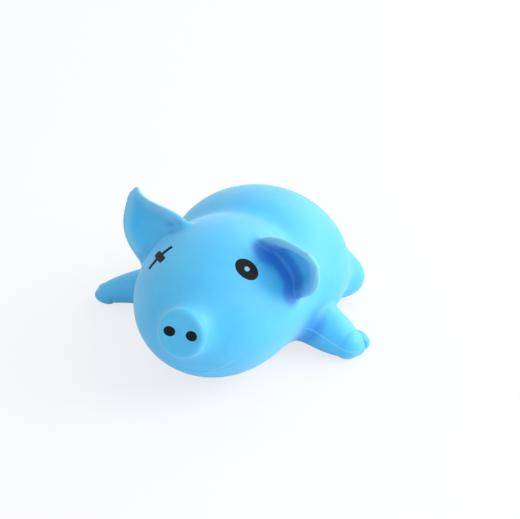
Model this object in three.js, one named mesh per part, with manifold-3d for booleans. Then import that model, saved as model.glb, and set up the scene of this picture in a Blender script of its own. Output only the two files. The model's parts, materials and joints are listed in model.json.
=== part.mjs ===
// A palm-sized squeeze toy: a pig that lies on its belly, moulded in soft rubber and filled with thick gel.
// Millimetres. +X is the pig's left, -Y is where it looks and +Z is up. The toy lies on the plane z = 0.
// The skin is one moulding on the real toy. Here each of its lobes is a solid of its own, parted by a fine gap.
// Where an ear or a leg flexes, its root is a solid of its own between the skin and the part that swings.
import * as THREE from "three";
import { mergeVertices } from "three/addons/utils/BufferGeometryUtils.js";
import Module from "manifold-3d";

const wasm = await Module();
wasm.setup();

// Fits and walls
const gap = 0.3; // between two neighbouring solids
const skinWall = 2.4; // the moulded skin of torso and head
const flattened = 0.5; // how deep the round underside is pressed flat where it lies

// The two filled lobes. Each half-length runs from the lobe's centre to its own side.
const torso = { x: 1.4, y: 5.4, side: 35.6, front: 31, behind: 33.2, above: 30.6, below: 19.5, fullness: 2.3 };
const head = { x: 0, y: -29.5, side: 31, front: 37, behind: 36, above: 27.4, below: 27.4, fullness: 2 };
for (const lobe of [torso, head]) lobe.z = lobe.below - flattened;

// The neck: torso and head run into each other with a fillet, narrow over the top and wide down the sides.
const neckFillet = { top: 7, side: 26, topHeight: 46, sideHeight: 22 };
const neckParting = { y: -10.2, z: 25 }; // the skins part in a plane through here
const neckPitch = 9.2; // degrees that the plane leans from upright

// A place on a lobe is given in degrees: bearing from straight ahead round to the pig's left, and rise.

// Snout: a short round nose that looks up a little
const snoutAt = { bearing: 2, rise: 13.2 };
const snoutRadius = 9.2;
const snoutReach = 4.4; // how far the middle of its face stands out of the head
const snoutPitch = 20; // degrees that its face looks up
const snoutFlare = 3.6; // how much wider its foot is, where it runs out into the head
const snoutEdge = 2.6; // roundness of the rim
const snoutDish = 0.5; // depth of the hollow in its face
const nostrilRadius = 2.1;
const nostrilSpacing = 8.6;
const nostrilRaise = 0.2; // above the middle of the face
const nostrilDepth = 0.9;

// Black marks, printed on the skin
const inkThickness = 0.4;
const eyeAt = { bearing: 56.9, rise: 53.6 };
const eyeHalfLength = 4.75;
const eyeHalfWidth = 3.7;
const eyeTurn = -12; // degrees
const glintRadius = 1.25;
const winkAt = { bearing: -58.9, rise: 46.9 };
const winkBarLength = 11.8;
const winkBarWidth = 0.95;
const winkPadLength = 7.9;
const winkPadWidth = 2.4;
const winkTurn = 38.6; // degrees

// Ears: thin cupped leaves that stand on the head
const earBase = { inner: { bearing: 102.3, rise: 61.2 }, outer: { bearing: 90.3, rise: 14.1 } };
const earLength = 24.4; // above the head
const earThickness = 2.3;
const earRim = 1.2; // thickness at the edge
const earCup = { foot: 10, tip: 20, swell: 12 }; // half the arc of the leaf's hollow, in degrees
const earTipHalf = 0.9;
const earBulge = 0.3; // of the outer edge, as a share of half the ear's width
const earFillet = 5; // where the leaf runs out into the head
const earBuried = 7; // how far the leaf is drawn down into the head before it is trimmed
const earRootLength = 5.4; // from the head to where the leaf swings
const ears = {
  right: { side: -1, flop: -18, lean: -3.4, swing: [-10, 40] },
  left: { side: 1, flop: 29, lean: 2.4, swing: [-40, 12] },
};

// Legs: bent, tapered limbs with a cloven hoof, splayed out flat on the table.
// A leg runs from inside the torso through the hip towards its knee and bends to the ankle. Angles are in
// degrees: a heading like a bearing, and a pitch over level. The toes' place is counted from the ankle, along
// the hoof's heading and across it.
const rearLeg = {
  startRadius: 11, kneeRadius: 10.8, ankleRadius: 5.8,
  thighPitch: -8, thighLength: 4.5, shinPitch: -31, shinLength: 7.7,
  toeHalfWidth: 2.9, toeHalfLength: 4.4, toeHalfHeight: 3.2, toeAhead: 2, toeShift: 0, toesApart: 4.8,
};
const legs = {
  front_left: {
    at: { bearing: 60, rise: -27 },
    startRadius: 9.6, kneeRadius: 10, ankleRadius: 6.2,
    thighHeading: 74, thighPitch: -12.5, thighLength: 7,
    shinHeading: 72, shinPitch: -16, shinLength: 9.2,
    hoofHeading: 110, toeHalfWidth: 3.2, toeHalfLength: 5.3, toeHalfHeight: 3.6,
    toeAhead: 3.1, toeShift: 2.6, toesApart: 5.2,
  },
  front_right: {
    at: { bearing: -60.3, rise: -22 },
    startRadius: 10.8, kneeRadius: 6, ankleRadius: 3.7,
    thighHeading: -90, thighPitch: -9, thighLength: 16,
    shinHeading: -71.4, shinPitch: -18.6, shinLength: 11.9,
    hoofHeading: -66, toeHalfWidth: 2.4, toeHalfLength: 4.8, toeHalfHeight: 2.8,
    toeAhead: 0.9, toeShift: 0, toesApart: 3.4,
  },
  rear_left: rearLegOn(1),
  rear_right: rearLegOn(-1),
};
const legBuried = 13; // how far a leg starts inside the torso before it is trimmed
const legFillet = 4.5; // between a leg and the torso
const cheekFillet = 14; // between a leg and the head, where the cheek runs down into the leg
const limbSwell = 5; // the most that a fillet may add to a leg or an ear
const filletSunk = 0.8; // how deep under the skin a limb's fillet would run out, so that it ends at an edge
const legRootLength = { front: 8.6, rear: 4 }; // from the hip to where the leg swings, along its middle line
const legHingeBack = 2.1; // how far the hinge lies inside the root
const legSwingGap = 0.8; // between a swinging leg and the body
const legSwing = { front: [-10, 15], rear: [-8, 10] };

function rearLegOn(side) {
  const headings = { thighHeading: side * 100, shinHeading: side * 217, hoofHeading: side * 175 };
  return { ...rearLeg, ...headings, at: { bearing: side * 124, rise: -24 } };
}

// Tail: a small curl on the rump
const tailAt = { bearing: 180, rise: 6 };
const tailRadius = 1.7;
const tailTipRadius = 0.9;
const tailCurl = 3.2; // radius of the curl
const tailTurns = 1.15;
const tailLength = 6.5; // how far the curl stands out
const tailBuried = 4;

// Filling port in the belly, closed by a plug
const portRadius = 3.2;
const plugRecess = 0.4; // of the plug's outer face above the table
const plugBarb = 1.7; // how much wider the barb is than the port
const plugBarbThickness = 1.4;

const skinColour = "#6cc8f5";
const inkColour = "#232323";
const glintColour = "#d8f1fb";
const gelColour = "#8fd0ee";
const plugColour = "#5fb6e2";

// Solids and surfaces

function solidOf(geometry) {
  const bare = geometry.index ? geometry.toNonIndexed() : geometry.clone();
  bare.deleteAttribute("normal");
  bare.deleteAttribute("uv");
  const merged = mergeVertices(bare, 1e-4);
  const mesh = new wasm.Mesh({
    numProp: 3,
    vertProperties: merged.attributes.position.array,
    triVerts: new Uint32Array(merged.index.array),
  });
  mesh.merge();
  return new wasm.Manifold(mesh);
}

function geometryOf(solid) {
  const { vertProperties, triVerts, numProp } = solid.getMesh();
  const positions = new Float32Array((vertProperties.length / numProp) * 3);
  for (let i = 0; i < positions.length / 3; i++)
    for (let k = 0; k < 3; k++) positions[3 * i + k] = vertProperties[numProp * i + k];
  const geometry = new THREE.BufferGeometry();
  geometry.setAttribute("position", new THREE.BufferAttribute(positions, 3));
  geometry.setIndex(new THREE.BufferAttribute(new Uint32Array(triVerts), 1));
  return geometry;
}

const radians = THREE.MathUtils.degToRad;
const settlingRounds = 16; // in which a moved point finds its place

// The unit vector at a bearing from straight ahead round to the pig's left, and at a rise.
function towards(bearing, rise) {
  const [around, over] = [radians(bearing), radians(rise)];
  const level = Math.cos(over);
  return new THREE.Vector3(level * Math.sin(around), -level * Math.cos(around), Math.sin(over));
}

// A lobe's half-lengths towards a side of its centre.
function halfLengths(lobe, { y, z }) {
  return new THREE.Vector3(lobe.side, y < 0 ? lobe.front : lobe.behind, z < 0 ? lobe.below : lobe.above);
}

// A point of a unit ball, drawn out to a lobe. Below its waist a lobe is fuller than an ellipsoid, because the
// gel sags.
function drawnOut(ball, lobe) {
  const level = Math.hypot(ball.x, ball.y);
  const depth = Math.max(0, -ball.z);
  const fuller = (level ** lobe.fullness + depth ** lobe.fullness) ** (-1 / lobe.fullness);
  const drawn = ball.clone().multiply(halfLengths(lobe, ball)).multiplyScalar(ball.z < 0 ? fuller : 1);
  return drawn.add(new THREE.Vector3(lobe.x, lobe.y, lobe.z));
}

// Distance from a lobe's surface, below zero inside it. It is true near the surface.
function lobeDistance(point, lobe) {
  const out = point.clone().sub(new THREE.Vector3(lobe.x, lobe.y, lobe.z));
  const half = halfLengths(lobe, out);
  const n = out.z < 0 ? lobe.fullness : 2;
  out.divide(half);
  const level = Math.hypot(out.x, out.y) + 1e-9;
  const depth = Math.abs(out.z) + 1e-9;
  const size = (level ** n + depth ** n) ** (1 / n);
  const bend = new THREE.Vector3(level ** (n - 2), level ** (n - 2), depth ** (n - 2));
  const slope = out.divide(half).multiply(bend);
  return (size - 1) / (size ** (1 - n) * slope.length() + 1e-9);
}

// The union of two distances, with a fillet where they meet.
function joined(a, b, fillet) {
  const near = Math.max(0, 1 - Math.abs(a - b) / fillet);
  return Math.min(a, b) - (fillet * near ** 3) / 6;
}

// Distance from the skin of torso and head, with the neck between them.
function bodyDistance(point) {
  const { top, side, topHeight, sideHeight } = neckFillet;
  const down = THREE.MathUtils.smoothstep(topHeight - point.z, 0, topHeight - sideHeight);
  return joined(lobeDistance(point, torso), lobeDistance(point, head), THREE.MathUtils.lerp(top, side, down));
}

// Where a straight line from inside the body comes out through its skin, or through a level over the skin.
function reached(inner, direction, level) {
  const at = (out) => inner.clone().addScaledVector(direction, out);
  let [short, far] = [0, 2 * head.front];
  for (let round = 0; round < settlingRounds; round++) {
    const middle = (short + far) / 2;
    if (bodyDistance(at(middle)) < level) short = middle;
    else far = middle;
  }
  return at(far);
}

// The point of a lobe at a bearing and a rise, and the outward direction there.
function onLobe(lobe, { bearing, rise }) {
  const ball = towards(bearing, rise);
  const point = drawnOut(ball, lobe);
  const half = halfLengths(lobe, ball);
  const out = point.clone().sub(new THREE.Vector3(lobe.x, lobe.y, lobe.z));
  const normal = out.divide(half).divide(half).normalize();
  return { point, normal };
}

function boxSolid(low, high) {
  const size = high.clone().sub(low);
  const box = new THREE.BoxGeometry(size.x, size.y, size.z);
  box.translate(...low.clone().add(high).multiplyScalar(0.5).toArray());
  return solidOf(box);
}

const reach = 200; // longer than the toy
const underTable = (height = 0) =>
  boxSolid(new THREE.Vector3(-reach, -reach, -reach), new THREE.Vector3(reach, reach, height));

// All of space beyond a plane, as a box.
function beyond(point, normal) {
  const box = new THREE.BoxGeometry(reach, reach, reach);
  box.translate(0, 0, reach / 2);
  box.applyQuaternion(new THREE.Quaternion().setFromUnitVectors(new THREE.Vector3(0, 0, 1), normal));
  box.translate(point.x, point.y, point.z);
  return solidOf(box);
}

// Places a geometry that was made along +Y so that it starts at a point and runs along a direction.
function laidAlong(geometry, point, direction) {
  const turn = new THREE.Quaternion().setFromUnitVectors(new THREE.Vector3(0, 1, 0), direction);
  return geometry.applyQuaternion(turn).translate(point.x, point.y, point.z);
}

// A closed slab between a front and a back sheet, each a grid of points with the same rows and columns.
function slab(front, back) {
  const rows = front.length;
  const columns = front[0].length;
  const points = [...front.flat(), ...back.flat()];
  const faces = [];
  const at = (sheet, row, column) => sheet * rows * columns + row * columns + column;
  const quad = (a, b, c, d) => faces.push(a, b, c, a, c, d);
  for (let r = 0; r < rows - 1; r++)
    for (let c = 0; c < columns - 1; c++) {
      quad(at(0, r, c), at(0, r, c + 1), at(0, r + 1, c + 1), at(0, r + 1, c));
      quad(at(1, r, c), at(1, r + 1, c), at(1, r + 1, c + 1), at(1, r, c + 1));
    }
  for (let r = 0; r < rows - 1; r++) {
    quad(at(0, r, 0), at(0, r + 1, 0), at(1, r + 1, 0), at(1, r, 0));
    quad(at(0, r + 1, columns - 1), at(0, r, columns - 1), at(1, r, columns - 1), at(1, r + 1, columns - 1));
  }
  for (let c = 0; c < columns - 1; c++) {
    quad(at(0, 0, c + 1), at(0, 0, c), at(1, 0, c), at(1, 0, c + 1));
    quad(at(0, rows - 1, c), at(0, rows - 1, c + 1), at(1, rows - 1, c + 1), at(1, rows - 1, c));
  }
  const geometry = new THREE.BufferGeometry();
  geometry.setAttribute("position", new THREE.Float32BufferAttribute(points.flatMap((p) => p.toArray()), 3));
  geometry.setIndex(faces);
  return facingOut(geometry);
}

// A tube of rings of points, closed at both ends by a point: a given tip, or else the middle of the last ring.
function loft(rings, tips) {
  const sides = rings[0].length;
  const middleOf = (ring) => ring.reduce((sum, p) => sum.add(p), new THREE.Vector3()).divideScalar(sides);
  const points = [...rings.flat(), ...(tips ?? [rings[0], rings.at(-1)].map(middleOf))];
  const faces = [];
  const last = (rings.length - 1) * sides;
  for (let i = 0; i < sides; i++) {
    const j = (i + 1) % sides;
    for (let r = 0; r < rings.length - 1; r++) {
      const [a, b, c, d] = [r * sides + i, r * sides + j, (r + 1) * sides + j, (r + 1) * sides + i];
      faces.push(a, b, c, a, c, d);
    }
    faces.push(points.length - 2, j, i);
    faces.push(points.length - 1, last + i, last + j);
  }
  const geometry = new THREE.BufferGeometry();
  geometry.setAttribute("position", new THREE.Float32BufferAttribute(points.flatMap((p) => p.toArray()), 3));
  geometry.setIndex(faces);
  return facingOut(geometry);
}

// Turns every face round if the closed surface encloses a negative volume.
function facingOut(geometry) {
  const index = geometry.index.array;
  const corner = (i) => new THREE.Vector3().fromBufferAttribute(geometry.attributes.position, index[i]);
  let volume = 0;
  for (let i = 0; i < index.length; i += 3) volume += corner(i).dot(corner(i + 1).cross(corner(i + 2)));
  if (volume < 0)
    for (let i = 0; i < index.length; i += 3) [index[i + 1], index[i + 2]] = [index[i + 2], index[i + 1]];
  return geometry;
}

// Torso, head and what fills them

// Everything behind the neck's parting plane, moved back by a distance.
function behindNeck(distance) {
  const back = new THREE.Vector3(0, Math.cos(radians(neckPitch)), -Math.sin(radians(neckPitch)));
  const onPlane = new THREE.Vector3(torso.x, neckParting.y, neckParting.z);
  return beyond(onPlane.addScaledVector(back, distance), back);
}

// Torso and head in one, at a level over the skin or under it: rings of points round a line from snout to rump.
function bodySolid(level, around = 40, rings = 27) {
  const centre = ({ x, y, z }) => new THREE.Vector3(x, y, z);
  const front = centre(head).setY(head.y - head.front - level);
  const rear = centre(torso).setY(torso.y + torso.behind + level);
  const ringAt = (y) => {
    const middle = centre(head).lerp(centre(torso), THREE.MathUtils.smoothstep(y, head.y, torso.y)).setY(y);
    return Array.from({ length: around }, (_, k) => {
      const angle = (2 * Math.PI * k) / around;
      return reached(middle, new THREE.Vector3(Math.cos(angle), 0, Math.sin(angle)), level);
    });
  };
  const shares = Array.from({ length: rings }, (_, i) => (1 - Math.cos((Math.PI * (i + 1)) / (rings + 1))) / 2);
  const skinRings = shares.map((share) => ringAt(THREE.MathUtils.lerp(front.y, rear.y, share)));
  return solidOf(loft(skinRings, [front, rear]));
}

const table = underTable();
const bodyClear = bodySolid(gap);
const roomAround = 28; // facets round the inner walls, the same for the gel, so that the two never touch
const roomRings = 18;
const inside = (depth) => bodySolid(-depth, roomAround, roomRings).subtract(underTable(depth));
const bodySkin = bodySolid(0).subtract(table).subtract(inside(skinWall));

function portHole() {
  const hole = new THREE.CylinderGeometry(portRadius, portRadius, 4 * skinWall, 32);
  return solidOf(hole.rotateX(Math.PI / 2).translate(torso.x, torso.y, 0));
}

// The plug is pushed in from outside: its barb spreads behind the wall and holds it.
function plugProfile(outwards) {
  const stem = portRadius - gap + outwards;
  const barb = portRadius + plugBarb + outwards;
  const foot = plugRecess - outwards;
  const shoulder = skinWall + gap - outwards;
  const crown = skinWall + gap + plugBarbThickness + outwards;
  return [
    [0, foot],
    [stem, foot],
    [stem, shoulder],
    [barb, shoulder],
    [barb - plugBarbThickness / 2, crown],
    [0, crown],
  ].map(([radius, height]) => new THREE.Vector2(radius, height));
}

function plugSolid(outwards = 0) {
  const turned = new THREE.LatheGeometry(plugProfile(outwards), 32);
  return solidOf(turned.rotateX(Math.PI / 2).translate(torso.x, torso.y, 0));
}

const gelFilling = inside(skinWall + gap).subtract(plugSolid(gap));
const headSkin = bodySkin.subtract(behindNeck(-gap / 2));
const torsoSkin = bodySkin.intersect(behindNeck(gap / 2)).subtract(portHole());

// Snout and nostrils

const snoutAxis = new THREE.Vector3(0, -Math.cos(radians(snoutPitch)), Math.sin(radians(snoutPitch)));
const snoutUp = new THREE.Vector3(0, Math.sin(radians(snoutPitch)), Math.cos(radians(snoutPitch)));
const snoutFace = onLobe(head, snoutAt).point.addScaledVector(snoutAxis, snoutReach);

function snoutSolid() {
  const depth = 3 * snoutReach;
  const rim = new THREE.EllipseCurve(snoutRadius - snoutEdge, -snoutEdge, snoutEdge, snoutEdge, 0, Math.PI / 2);
  const flare = new THREE.QuadraticBezierCurve(
    new THREE.Vector2(snoutRadius + snoutFlare, -depth),
    new THREE.Vector2(snoutRadius, -depth / 2),
    new THREE.Vector2(snoutRadius, -snoutEdge),
  );
  const profile = [
    new THREE.Vector2(0, -depth),
    ...flare.getPoints(5),
    ...rim.getPoints(4).slice(1),
    new THREE.Vector2(0, -snoutDish),
  ];
  const turned = laidAlong(new THREE.LatheGeometry(profile, 30), snoutFace, snoutAxis);
  let solid = solidOf(turned).subtract(bodyClear);
  for (const side of [-1, 1]) solid = solid.subtract(nostril(side, nostrilRadius, nostrilDepth, snoutRadius));
  return solid;
}

// A round pocket, or the ink dot in it, from a depth under the snout's face.
function nostril(side, radius, depth, thickness) {
  const dot = new THREE.CylinderGeometry(radius, radius, thickness, 20).translate(0, thickness / 2 - depth, 0);
  const centre = snoutFace.clone().addScaledVector(snoutUp, nostrilRaise);
  centre.x += (side * nostrilSpacing) / 2;
  return solidOf(laidAlong(dot, centre, snoutAxis));
}

// Printed marks: a film that follows the head, trimmed to a flat outline

function printed(shapes, at) {
  const film = bodySolid(gap + inkThickness).subtract(bodyClear);
  const { point, normal } = onLobe(head, at);
  const frontwards = new THREE.Vector3(0, -1, 0).projectOnPlane(normal).normalize();
  const across = new THREE.Vector3().crossVectors(normal, frontwards);
  const frame = new THREE.Matrix4().makeBasis(across, frontwards.clone().negate(), normal);
  const depth = eyeHalfLength + winkBarLength;
  const stamps = shapes.map((shape) => {
    const stamp = new THREE.ExtrudeGeometry(shape, { depth, bevelEnabled: false, curveSegments: 9 });
    return solidOf(stamp.translate(0, 0, -depth / 2).applyMatrix4(frame).translate(point.x, point.y, point.z));
  });
  return film.intersect(stamps.reduce((all, stamp) => all.add(stamp)));
}

function eyeRing() {
  const outline = new THREE.Shape();
  outline.absellipse(0, 0, eyeHalfLength, eyeHalfWidth, 0, 2 * Math.PI, false, radians(eyeTurn));
  const hole = new THREE.Path();
  hole.absarc(0, 0, glintRadius + gap, 0, 2 * Math.PI, true);
  outline.holes.push(hole);
  return printed([outline], eyeAt);
}

function eyeGlint() {
  const outline = new THREE.Shape();
  outline.absarc(0, 0, glintRadius, 0, 2 * Math.PI);
  return printed([outline], eyeAt);
}

function bar(length, width, turn) {
  const round = width / 2;
  const half = length / 2 - round;
  const shape = new THREE.Shape();
  shape.absarc(half, 0, round, -Math.PI / 2, Math.PI / 2);
  shape.absarc(-half, 0, round, Math.PI / 2, 1.5 * Math.PI);
  shape.closePath();
  const turned = shape.getPoints(6).map((p) => p.rotateAround(new THREE.Vector2(), turn));
  return new THREE.Shape(turned);
}

function winkMark() {
  const along = radians(winkTurn);
  const long = bar(winkBarLength, winkBarWidth, along);
  const pad = bar(winkPadLength, winkPadWidth, along + Math.PI / 2);
  return printed([long, pad], winkAt);
}

// Moves a point of a limb's surface outwards, onto the fillet that the limb makes with the body.
function filleted(point, outwards, filletAt) {
  let out = 0;
  const there = () => point.clone().addScaledVector(outwards, out);
  for (let round = 0; round < settlingRounds; round++)
    out = Math.min(limbSwell, out - joined(bodyDistance(there()) + filletSunk, out, filletAt(there())));
  return there();
}

// Ears

// How far each edge of the leaf has drawn in, from 1 at its foot to 0 at its tip.
const earInnerEdge = (along) => (1 + Math.cos(Math.PI * along)) / 2;
const earOuterEdge = (along) => (1 - along ** 2.8) ** 0.75 * (1 + earBulge * Math.sin(Math.PI * along));

function earSolids({ side, flop, lean }) {
  const onHead = ({ bearing, rise }) => onLobe(head, { bearing: side * bearing, rise }).point;
  const inner = onHead(earBase.inner);
  const outer = onHead(earBase.outer);
  const foot = inner.clone().add(outer).multiplyScalar(0.5);
  const outwards = outer.clone().sub(inner).normalize();
  const halfBase = inner.distanceTo(outer) / 2;
  const away = foot.clone().sub(new THREE.Vector3(head.x, foot.y, head.z)).projectOnPlane(outwards).normalize();
  const swingAxis = outwards.clone().multiplyScalar(side);
  const up = away.applyAxisAngle(swingAxis, radians(flop));
  const behind = new THREE.Vector3().crossVectors(up, swingAxis);
  const rows = 12;
  const columns = 8;
  const sheet = (rear) => {
    const grid = [];
    for (let r = 0; r <= rows; r++) {
      const share = -earBuried / earLength + (1 + earBuried / earLength) * (r / rows) ** 0.85;
      const along = Math.max(0, share);
      const [innerHalf, outerHalf] = [earInnerEdge(along), earOuterEdge(along)].map((drawnIn) =>
        THREE.MathUtils.lerp(earTipHalf, halfBase, drawnIn),
      );
      const half = (innerHalf + outerHalf) / 2;
      const spoon = earCup.swell * Math.sin(Math.PI * along);
      const arc = radians(THREE.MathUtils.lerp(earCup.foot, earCup.tip, along) + spoon);
      const radius = half / Math.sin(arc);
      const row = [];
      for (let c = 0; c <= columns; c++) {
        const v = (2 * c) / columns - 1;
        const thickness = earRim + (earThickness - earRim) * (1 - v ** 2) * (1 - along ** 3);
        const layer = radius + (rear ? thickness / 2 : -thickness / 2);
        const widen = (v < 0 ? innerHalf : outerHalf) / half;
        const point = foot
          .clone()
          .addScaledVector(outwards, widen * layer * Math.sin(arc * v) + lean * along ** 1.5)
          .addScaledVector(up, share * earLength)
          .addScaledVector(behind, layer * Math.cos(arc * v) - radius * Math.cos(arc));
        row.push(filleted(point, behind.clone().multiplyScalar(rear ? 1 : -1), () => earFillet));
      }
      grid.push(row);
    }
    return grid;
  };
  const leaf = solidOf(slab(sheet(false), sheet(true))).subtract(bodyClear);
  const cut = (height) => beyond(foot.clone().addScaledVector(up, height), up);
  return {
    root: leaf.subtract(cut(earRootLength - gap)),
    flap: leaf.intersect(cut(earRootLength)),
    hinge: foot.clone().addScaledVector(up, earRootLength / 2),
    axis: swingAxis,
  };
}

// Legs

// The fillet that a leg makes with the body is wide beside the head and narrow beside the torso.
function legFilletAt(point) {
  const towardsHead = lobeDistance(point, torso) - lobeDistance(point, head);
  const share = THREE.MathUtils.smoothstep(towardsHead, -cheekFillet / 2, cheekFillet / 2);
  return THREE.MathUtils.lerp(legFillet, cheekFillet, share);
}

function toeSolids(ankle, form) {
  const ahead = towards(form.hoofHeading, 0);
  const across = new THREE.Vector3(0, 0, 1).cross(ahead);
  const middle = ankle.clone().addScaledVector(ahead, form.toeAhead).addScaledVector(across, form.toeShift);
  middle.z = form.toeHalfHeight - flattened / 2;
  return [-1, 1].map((side) => {
    const ball = new THREE.SphereGeometry(1, 14, 9);
    ball.scale(form.toeHalfWidth, form.toeHalfLength, form.toeHalfHeight);
    return solidOf(laidAlong(ball, middle.clone().addScaledVector(across, (side * form.toesApart) / 2), ahead));
  });
}

// A ring of points square to a limb, on its surface or on its fillet with the body.
function legRing(centre, along, radius) {
  const sides = 20;
  const across = new THREE.Vector3().crossVectors(along, new THREE.Vector3(0, 0, 1)).normalize();
  const over = new THREE.Vector3().crossVectors(across, along);
  return Array.from({ length: sides }, (_, k) => {
    const angle = (2 * Math.PI * k) / sides;
    const outwards = across.clone().multiplyScalar(Math.cos(angle)).addScaledVector(over, Math.sin(angle));
    return filleted(centre.clone().addScaledVector(outwards, radius), outwards, legFilletAt);
  });
}

const swingRoom = bodySolid(legSwingGap);

function legSolids(name, form) {
  const pair = name.split("_")[0];
  const { point: hip, normal } = onLobe(torso, form.at);
  const thighWay = towards(form.thighHeading, form.thighPitch);
  const shinWay = towards(form.shinHeading, form.shinPitch);
  const start = hip.clone().addScaledVector(thighWay, -legBuried);
  const knee = hip.clone().addScaledVector(thighWay, form.thighLength);
  const ankle = knee.clone().addScaledVector(shinWay, form.shinLength);
  const line = new THREE.QuadraticBezierCurve3(start, knee, ankle);
  const widths = [form.startRadius, form.kneeRadius, form.ankleRadius];
  const radii = new THREE.QuadraticBezierCurve(...widths.map((radius) => new THREE.Vector2(radius, 0)));
  const steps = 11;
  const roundSteps = 4;
  const rings = [];
  for (let i = 0; i <= steps; i++)
    rings.push(legRing(line.getPoint(i / steps), line.getTangent(i / steps), radii.getPoint(i / steps).x));
  for (let i = 1; i < roundSteps; i++) {
    const angle = (i / roundSteps) * (Math.PI / 2);
    const centre = ankle.clone().addScaledVector(line.getTangent(1), form.ankleRadius * Math.sin(angle));
    rings.push(legRing(centre, line.getTangent(1), form.ankleRadius * Math.cos(angle)));
  }
  const limb = toeSolids(ankle, form).reduce((all, toe) => all.add(toe), solidOf(loft(rings)));
  const leg = limb.subtract(table).subtract(bodyClear);
  const swingsFrom = (legBuried + legRootLength[pair]) / line.getLength();
  const [cutAt, cutWay] = [line.getPointAt(swingsFrom), line.getTangentAt(swingsFrom)];
  const cut = (distance) => beyond(cutAt.clone().addScaledVector(cutWay, distance), cutWay);
  const sideways = new THREE.Vector3().crossVectors(cutWay, new THREE.Vector3(0, 0, 1)).normalize();
  const outOfHip = normal.multiplyScalar(Math.sign(normal.dot(sideways)));
  return {
    root: leg.subtract(cut(-gap)),
    leg: leg.intersect(cut(0)).subtract(swingRoom),
    hinge: cutAt.clone().addScaledVector(cutWay, -legHingeBack),
    axis: pair === "front" ? sideways : outOfHip,
  };
}

// Tail

function tailSolid() {
  const { point } = onLobe(torso, tailAt);
  const steps = 28;
  const sides = 8;
  const path = Array.from({ length: steps + 1 }, (_, i) => {
    const share = i / steps;
    const turn = 2 * Math.PI * tailTurns * share;
    const curl = tailCurl * (1 - share / 3);
    return new THREE.Vector3(
      point.x + curl * Math.sin(turn),
      point.y - tailBuried + (tailBuried + tailLength) * share,
      point.z + curl * (1 - Math.cos(turn)),
    );
  });
  const curve = new THREE.CatmullRomCurve3(path);
  const frames = curve.computeFrenetFrames(steps);
  const rings = path.map((_, i) => {
    const share = i / steps;
    const radius = THREE.MathUtils.lerp(tailRadius, tailTipRadius, share) * (i === steps ? 0.6 : 1);
    const centre = curve.getPointAt(share);
    return Array.from({ length: sides }, (_, k) => {
      const angle = (2 * Math.PI * k) / sides;
      return centre
        .clone()
        .addScaledVector(frames.normals[i], radius * Math.cos(angle))
        .addScaledVector(frames.binormals[i], radius * Math.sin(angle));
    });
  });
  return solidOf(loft(rings)).subtract(bodyClear);
}

// The toy

const skin = new THREE.MeshStandardMaterial({ color: skinColour, roughness: 0.45, metalness: 0 });
const ink = new THREE.MeshStandardMaterial({ color: inkColour, roughness: 0.5, metalness: 0 });
const glint = new THREE.MeshStandardMaterial({ color: glintColour, roughness: 0.5, metalness: 0 });
const gel = new THREE.MeshStandardMaterial({ color: gelColour, roughness: 0.2, metalness: 0 });
const stopper = new THREE.MeshStandardMaterial({ color: plugColour, roughness: 0.5, metalness: 0 });

const pig = new THREE.Group();

function place(name, solid, material) {
  const mesh = new THREE.Mesh(geometryOf(solid), material.clone());
  mesh.name = name;
  pig.add(mesh);
  return mesh;
}

// Keeps a swinging piece's hinge beside its mesh, in the toy's own frame.
function placeSwinging(name, solid, material, hinge, axis, swing) {
  place(name, solid, material).userData = { hinge, axis, swing };
}

place("torso_skin", torsoSkin, skin);
place("head_skin", headSkin, skin);
place("gel_filling", gelFilling, gel);
place("filling_plug", plugSolid(), stopper);
place("snout", snoutSolid(), skin);
for (const [name, side] of [["left", 1], ["right", -1]])
  place(`nostril_mark_${name}`, nostril(side, nostrilRadius - gap, nostrilDepth - gap, inkThickness), ink);
place("eye_mark", eyeRing(), ink);
place("eye_glint", eyeGlint(), glint);
place("wink_mark", winkMark(), ink);
for (const [name, ear] of Object.entries(ears)) {
  const { root, flap, hinge, axis } = earSolids(ear);
  place(`ear_root_${name}`, root, skin);
  placeSwinging(`ear_${name}`, flap, skin, hinge, axis, ear.swing);
}
for (const [name, form] of Object.entries(legs)) {
  const { root, leg, hinge, axis } = legSolids(name, form);
  place(`${name}_leg_root`, root, skin);
  placeSwinging(`${name}_leg`, leg, skin, hinge, axis, legSwing[name.split("_")[0]]);
}
place("tail", tailSolid(), skin);

// The origin is under the middle of the toy.
const extent = new THREE.Box3().setFromObject(pig);
pig.position.set(-(extent.min.x + extent.max.x) / 2, -(extent.min.y + extent.max.y) / 2, 0);

export default pig;
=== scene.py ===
# %% [markdown]
# # A squeeze toy in stretchy rubber: a pig that lies on its belly
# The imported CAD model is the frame: it fixes every size, place and joint, in metres, with +Z up and the
# pig looking along -Y. This lesson dresses it. On the real toy the skin is one moulding that runs from the
# snout to the hooves without a seam, so the main work is one continuous, softly filleted surface.

# %% The frame
import json
import math
from functools import cached_property

import bmesh
import bpy
import numpy as np
from mathutils import Matrix, Vector


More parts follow.
